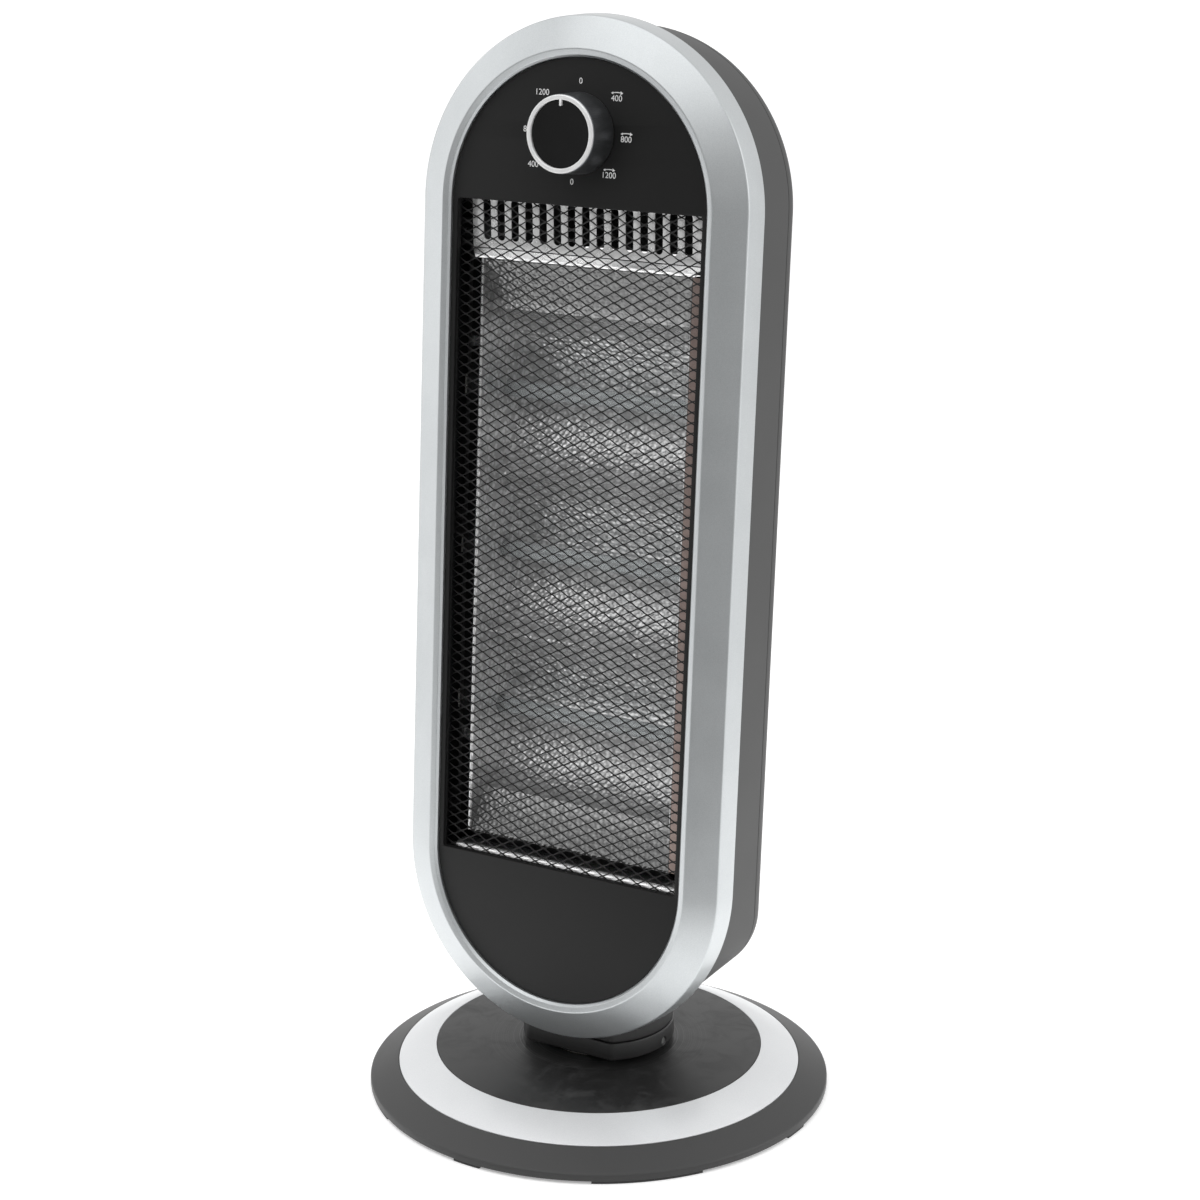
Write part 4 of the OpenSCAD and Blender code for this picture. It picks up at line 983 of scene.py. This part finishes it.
def makeBends():
    # plain bends: the slope under the slots with mitred ends, the rolled lip and its shelf
    r = reflector
    y, z = r["crease"]
    slope = [(r["edge"], r["foldHigh"] + 0.1), r["brow"], (y - 0.4, z - 0.5)]
    sheetPiece("brightSlope", evenPath(slope, 1.0), (r["halfWide"] + 0.4, r["lipWide"]), 2,
               material=bendFinish)
    y, z = r["lipMiddle"]
    lip = [(y + r["lipRadius"] * math.cos(t), z + r["lipRadius"] * math.sin(t))
           for t in np.radians(np.linspace(*r["lipTurn"], 24))]
    sheetPiece("rolledLip", evenPath(lip + [(r["shelf"], 0)], 0.4), (r["lipWide"],) * 2, 2,
               material=bendFinish)
    # the low fold is the same sheet, coloured dark as painted shade
    fold = [(r["shelf"], 0.1), (r["edge"], r["foldLow"])]
    sheetPiece("lowFold", evenPath(fold, 0.8), (r["halfWide"],) * 2, 2, material=foldShadeFinish)


def makeStrip():
    # slotted strip, which leans forwards from the crease
    r = reflector
    (y0, z0), (y1, z1) = r["crease"], r["top"]
    half = r["slotWide"] / 2
    outlines = [boxOutline(-r["lipWide"], r["lipWide"], 0, math.hypot(y1 - y0, z1 - z0), 0.4, 2)]
    for k in range(r["slots"]):
        x = (k - (r["slots"] - 1) / 2) * r["slotPitch"]
        outlines.append(boxOutline(x - half, x + half, r["slotLow"] - half - z0,
                                   r["slotHigh"] + half - z0, half - 0.01, 8))
    mesh = flatPlate("slottedStrip", outlines, r["sheet"], 0.2)
    lean = math.atan2(y0 - y1, z1 - z0)
    mesh.transform(headPlace @ Matrix.Translation((0, (y0 + r["sheet"] / 2) * mm, z0 * mm))
                   @ Matrix.Rotation(math.pi / 2 + lean, 4, "X"))
    finishMesh("slottedStrip", mesh, "bright_aluminium", "head", ["reflector"], stripFinish, 30)


def makeEndSheets():
    # hammered end sheets with a hole for each lamp
    r = reflector
    step, hole = 0.55, r["lampHole"]
    low, high = r["foldLow"] + 0.2, r["foldHigh"] - 0.2
    y = np.linspace(r["edge"], r["endBack"], int((r["endBack"] - r["edge"]) / step))
    z = np.linspace(low, high, int((high - low) / step))
    z, y = np.meshgrid(z, y, indexing="ij")
    faces = gridFaces(*y.shape, False, False)
    keep = np.ones(len(faces), bool)
    lift = dimples(y + 3, z + 1.7, r["dimple"]) * r["dimpleDeep"]
    lift *= np.clip((y - r["edge"]) / r["fade"], 0, 1)
    for k in range(3):
        # faces inside the hole go, and its edge is drawn onto the circle
        cy, cz = r["lampY"], r["troughBottom"] + (k + 0.5) * r["troughHeight"]
        away = np.hypot(y - cy, z - cz)
        keep &= (away.ravel()[faces] > hole - step * 0.5).all(1)
        pull = np.where((away > hole - step * 0.5) & (away < hole + step * 0.9),
                        hole / np.maximum(away, 0.1), 1)
        y, z = cy + (y - cy) * pull, cz + (z - cz) * pull
    for side, name in ((-1, "reflectorEndLeft"), (1, "reflectorEndRight")):
        points = np.stack([side * (r["halfWide"] - lift), y, z], -1)
        turned = faces[keep] if side > 0 else faces[keep][:, ::-1]
        mesh = thicken(meshFrom(name, fromHead(points), turned), r["sheet"])
        finishMesh(name, mesh, "bright_aluminium", "head", ["reflector_ends"], sharp=60)


def makeEndEdges():
    # folded front edge of each end sheet, with two tabs to the rail
    r, t = reflector, reflector["sheet"]
    low, high = r["foldLow"] + 0.2, r["foldHigh"] - 0.2
    for side, name, wide, back, material in (
            (-1, "edgeHemLeft", r["hem"], r["hemBack"], bendFinish),
            (1, "edgeFlangeRight", r["flange"], r["flangeBack"], flangeFinish)):
        x0, x1, yf = r["halfWide"] - 0.02, r["halfWide"] + wide, r["edge"] - 0.05
        fold = rounded([(x0, yf + 3), (x0, yf), (x1, yf), (x1, yf + back), (x1 - t, yf + back),
                        (x1 - t, yf + t), (x0 + t, yf + t), (x0 + t, yf + 3)],
                       [0, 0.7, 0.7, 0.2, 0.2, 0.1, 0.1, 0], 4) * (side, 1)
        parts = [drum([fromHead(np.column_stack([fold, np.full(len(fold), h)]))
                       for h in np.linspace(low, high, 24)])]
        for h in r["tabs"]:
            plate = boxOutline(r["halfWide"] + 0.7, r["railX"] + 0.1, h - r["tabHalf"],
                               h + r["tabHalf"], 0.5, 3) * (side, 1)
            parts.append(drum([fromHead(np.insert(plate, 1, depth, axis=1))
                               for depth in (r["tabY"], r["tabY"] + t)]))
        finishMesh(name, joined(parts), "bright_aluminium", "head", ["reflector_ends"],
                   material, 30)


knob = {"radius": 22.5, "topRadius": 21.5, "high": 21.0, "z": 424.5, "foot": -13.75, "wall": 2.2,
        "ringOut": 21.35, "ringIn": 18.6, "insert": 18.4, "insertHigh": 19.6, "dome": 0.25,
        "pointerHalf": 0.75, "pointerLow": 15.2, "pointerTop": 19.4, "pointerHigh": 20.85}


def fromKnob(points):
    # across and up from the knob's axis, and out from the fascia
    x, up, out = points[..., 0], points[..., 1], points[..., 2]
    return fromHead(np.stack([x, knob["foot"] - out, knob["z"] + up], -1))


def turnedKnob(profile):
    # profile of (radius, height out of the fascia) about the knob's axis
    grid, faces = lathe(profile, 192)
    return fromKnob(grid), faces


def pointerBar():
    # a rounded bar from the ring towards the centre, with sloping edges
    k, w = knob, knob["pointerHalf"]
    outline = rounded([(-w, k["pointerLow"]), (w, k["pointerLow"]), (w, k["pointerTop"]),
                       (-w, k["pointerTop"])], [0.7, 0.7, 0, 0], 6)
    middle = np.array([0, (k["pointerLow"] + k["pointerTop"]) / 2])
    top = outline + (middle - outline) * 0.12
    n = len(outline)
    levels = ((outline, k["insertHigh"] - 1), (outline, k["pointerHigh"] - 0.15),
              (top, k["pointerHigh"]))
    grid, faces = drum([np.column_stack([loop, np.full(n, level)]) for loop, level in levels])
    return fromKnob(grid), faces


def makeKnob():
    k = knob
    inner = k["radius"] - k["wall"]
    body = rounded([(inner, 0.15), (k["radius"], 0.15), (k["topRadius"], k["high"] - 1.1),
                    (k["ringIn"] + 0.1, k["high"] - 1.1), (k["ringIn"] - 0.6, 16), (inner, 14)],
                   [0, 0.3, 0.4, 0, 0, 0])
    finishMesh("knobBody", turnedKnob(body), "silver_knob", "knob", ["knob"])
    ring = rounded([(k["ringIn"], k["high"] - 2.4), (k["ringOut"] - 0.05, k["high"] - 1.2),
                    (k["ringOut"] - 0.25, k["high"] - 0.02), (k["ringIn"], k["high"] - 0.02)],
                   [0, 0.3, 0.55, 0.5], 6)
    finishMesh("knobRing", joined([turnedKnob(ring), pointerBar()]), "bright_trim", "knob",
               ["knob_ring"])
    rim, low = k["insertHigh"] - k["dome"], k["insertHigh"] - 1.4
    dome = [(k["insert"] * t, rim + k["dome"] * t * t) for t in np.linspace(0, 1, 11)]
    finishMesh("knobInsert", turnedKnob(dome + [(k["insert"], low), (0, low)]), "black_gloss",
               "knob", ["knob_insert"])


dial = {
    "size": 4.7, "printThick": 0.06, "printOut": 0.02,
    # text, x and height in the head's frame
    "marks": [("0", 0, 452.8), ("400", 23.2, 444.4), ("800", 30.1, 422.6), ("1200", 19.8, 402.6),
              ("0", -3.8, 397.6), ("400", -29.4, 405.9), ("800", -33.0, 425.0),
              ("1200", -24.8, 445.7)],
    "arrows": [(23.4, 447.4), (30.3, 425.6), (20.0, 405.6)], "arrowLong": 7.6, "arrowLine": 0.5,
}


def arrowOutline(x, z):
    # a slightly bent arrow with a head at each end
    half, w = dial["arrowLong"] / 2, dial["arrowLine"] / 2
    u = np.linspace(-half + 1.3, half - 1.6, 9)
    bend = 0.5 * (1 - (u / half) ** 2) - 0.2
    top, low = np.column_stack([u, bend + w]), np.column_stack([u, bend - w])[::-1]
    right = np.array([(half - 1.7, 1.0), (half, -0.1), (half - 1.7, -1.0)])
    left = np.array([(-half + 1.4, -0.75), (-half, -0.1), (-half + 1.4, 0.75)])
    return np.concatenate([top, right, low, left]) + (x, z)


def makeDialMarks():
    made = bmesh.new()
    front = fascia["front"] - dial["printOut"]
    for text, x, z in dial["marks"]:
        data = bpy.data.curves.new("mark", "FONT")
        data.body = text
        data.size = dial["size"] * mm
        data.align_x, data.align_y = "CENTER", "CENTER"
        data.extrude = dial["printThick"] / 2 * mm
        mesh = settled(addObject("mark", data))
        mesh.transform(onHead(front, x, z))
        made.from_mesh(mesh)
    for x, z in dial["arrows"]:
        mesh = flatPlate("mark", [arrowOutline(x, z)], dial["printThick"], 0.005)
        mesh.transform(onHead(front))
        made.from_mesh(mesh)
    mesh = bpy.data.meshes.new("dialMarks")
    made.to_mesh(mesh)
    made.free()
    finishMesh("dialMarks", mesh, None, "head", material=printFinish)


def makeFloor():
    # pale floor, lifted to white for the camera, with the heater's soft shadow on it
    s = studio
    paint = Paint("floor", rough=0.7, level=0.1, glowLevel=1.0)
    ray = paint.node("LightPath", out="Is Camera Ray")
    x = paint.parted()
    y = x.twin("Y")
    turn = math.radians(s["darkTurn"])
    away = (x * math.sin(turn) - y * math.cos(turn) - s["darkAway"]) / s["darkLong"]
    across = (x * math.cos(turn) + y * math.sin(turn)) / s["darkWide"]
    dark = ((away * away + across * across) ** 0.5).ramp(s["darkCore"], 1.0, 1.0, 0.0)
    shown = paint.blend((s["floorLift"],) * 3, (1.0, 1.0, 1.0), dark)
    far = (x * x + y * y) ** 0.5
    gloss = far.ramp(s["nearEdge"], s["farEdge"], s["glossNear"], s["glossFar"])
    gloss = (1 - dark) * gloss * ray.twin("Is Glossy Ray")
    color = paint.blend((0.9, 0.9, 0.9), s["floorColor"], paint.noise(60, 2))
    paint.show(color=paint.blend(color, (s["darkColor"],) * 3, dark),
               glow=paint.blend(paint.blend((0, 0, 0), (1, 1, 1), gloss), shown, ray))
    left, right, front, back = s["floorSize"]
    mesh = bpy.data.meshes.new("floor")
    mesh.from_pydata([(left, front, 0), (right, front, 0), (right, back, 0), (left, back, 0)],
                     [], [[0, 1, 2, 3]])
    mesh.materials.append(paint.material)
    addObject("floor", mesh)


def makeSky():
    # a studio that is white behind and above, and darker in front at the height of the heater
    world = bpy.data.worlds.new("studio")
    bpy.context.scene.world = world
    world.use_nodes = True
    sky = NodeTree(world.node_tree)
    x = sky.parted(sky.node("TexCoord", out="Generated"))
    y, z = x.twin("Y"), x.twin("Z")
    front = (y * -1).ramp(0.45, 0.95) * abs(z + 0.1).ramp(0.12, 0.42, 1.0, 0.0)
    light = studio["skyLight"] + (studio["frontDark"] - studio["skyLight"]) * front
    light = light + (1 - light) * (y + z * 0.6).ramp(0.0, 0.5)
    ray = sky.node("LightPath", out="Is Camera Ray")
    shown = ray.math("MAXIMUM", ray, ray.twin("Is Transmission Ray"))
    sky.feed(sky.tree.nodes["Background"],
             {"Color": (1, 1, 1), "Strength": light + (1 - light) * shown})


print("studio")
makeCamera()
print("base")
makeCover()
makeRingAndDisc()
makePads()
makeCollar()
print("head")
makeShells()
makeStub()
makeRearCover()
makeBezel()
makeFascia()
makeGuard()
print("reflector")
makeReflector()
makeBends()
makeStrip()
makeEndSheets()
makeEndEdges()
print("knob")
makeKnob()
makeDialMarks()

print("finishes of the other nodes")
slotOf = {part["node"]: part["material_slot"] for part in frame["record"]["subparts"]}
for name, node in frame["nodes"].items():
    if name in slotOf:
        node.data.materials.clear()
        node.data.materials.append(finish[slotOf[name]])

print("lights")
makeFloor()
makeSky()
makeLamps()
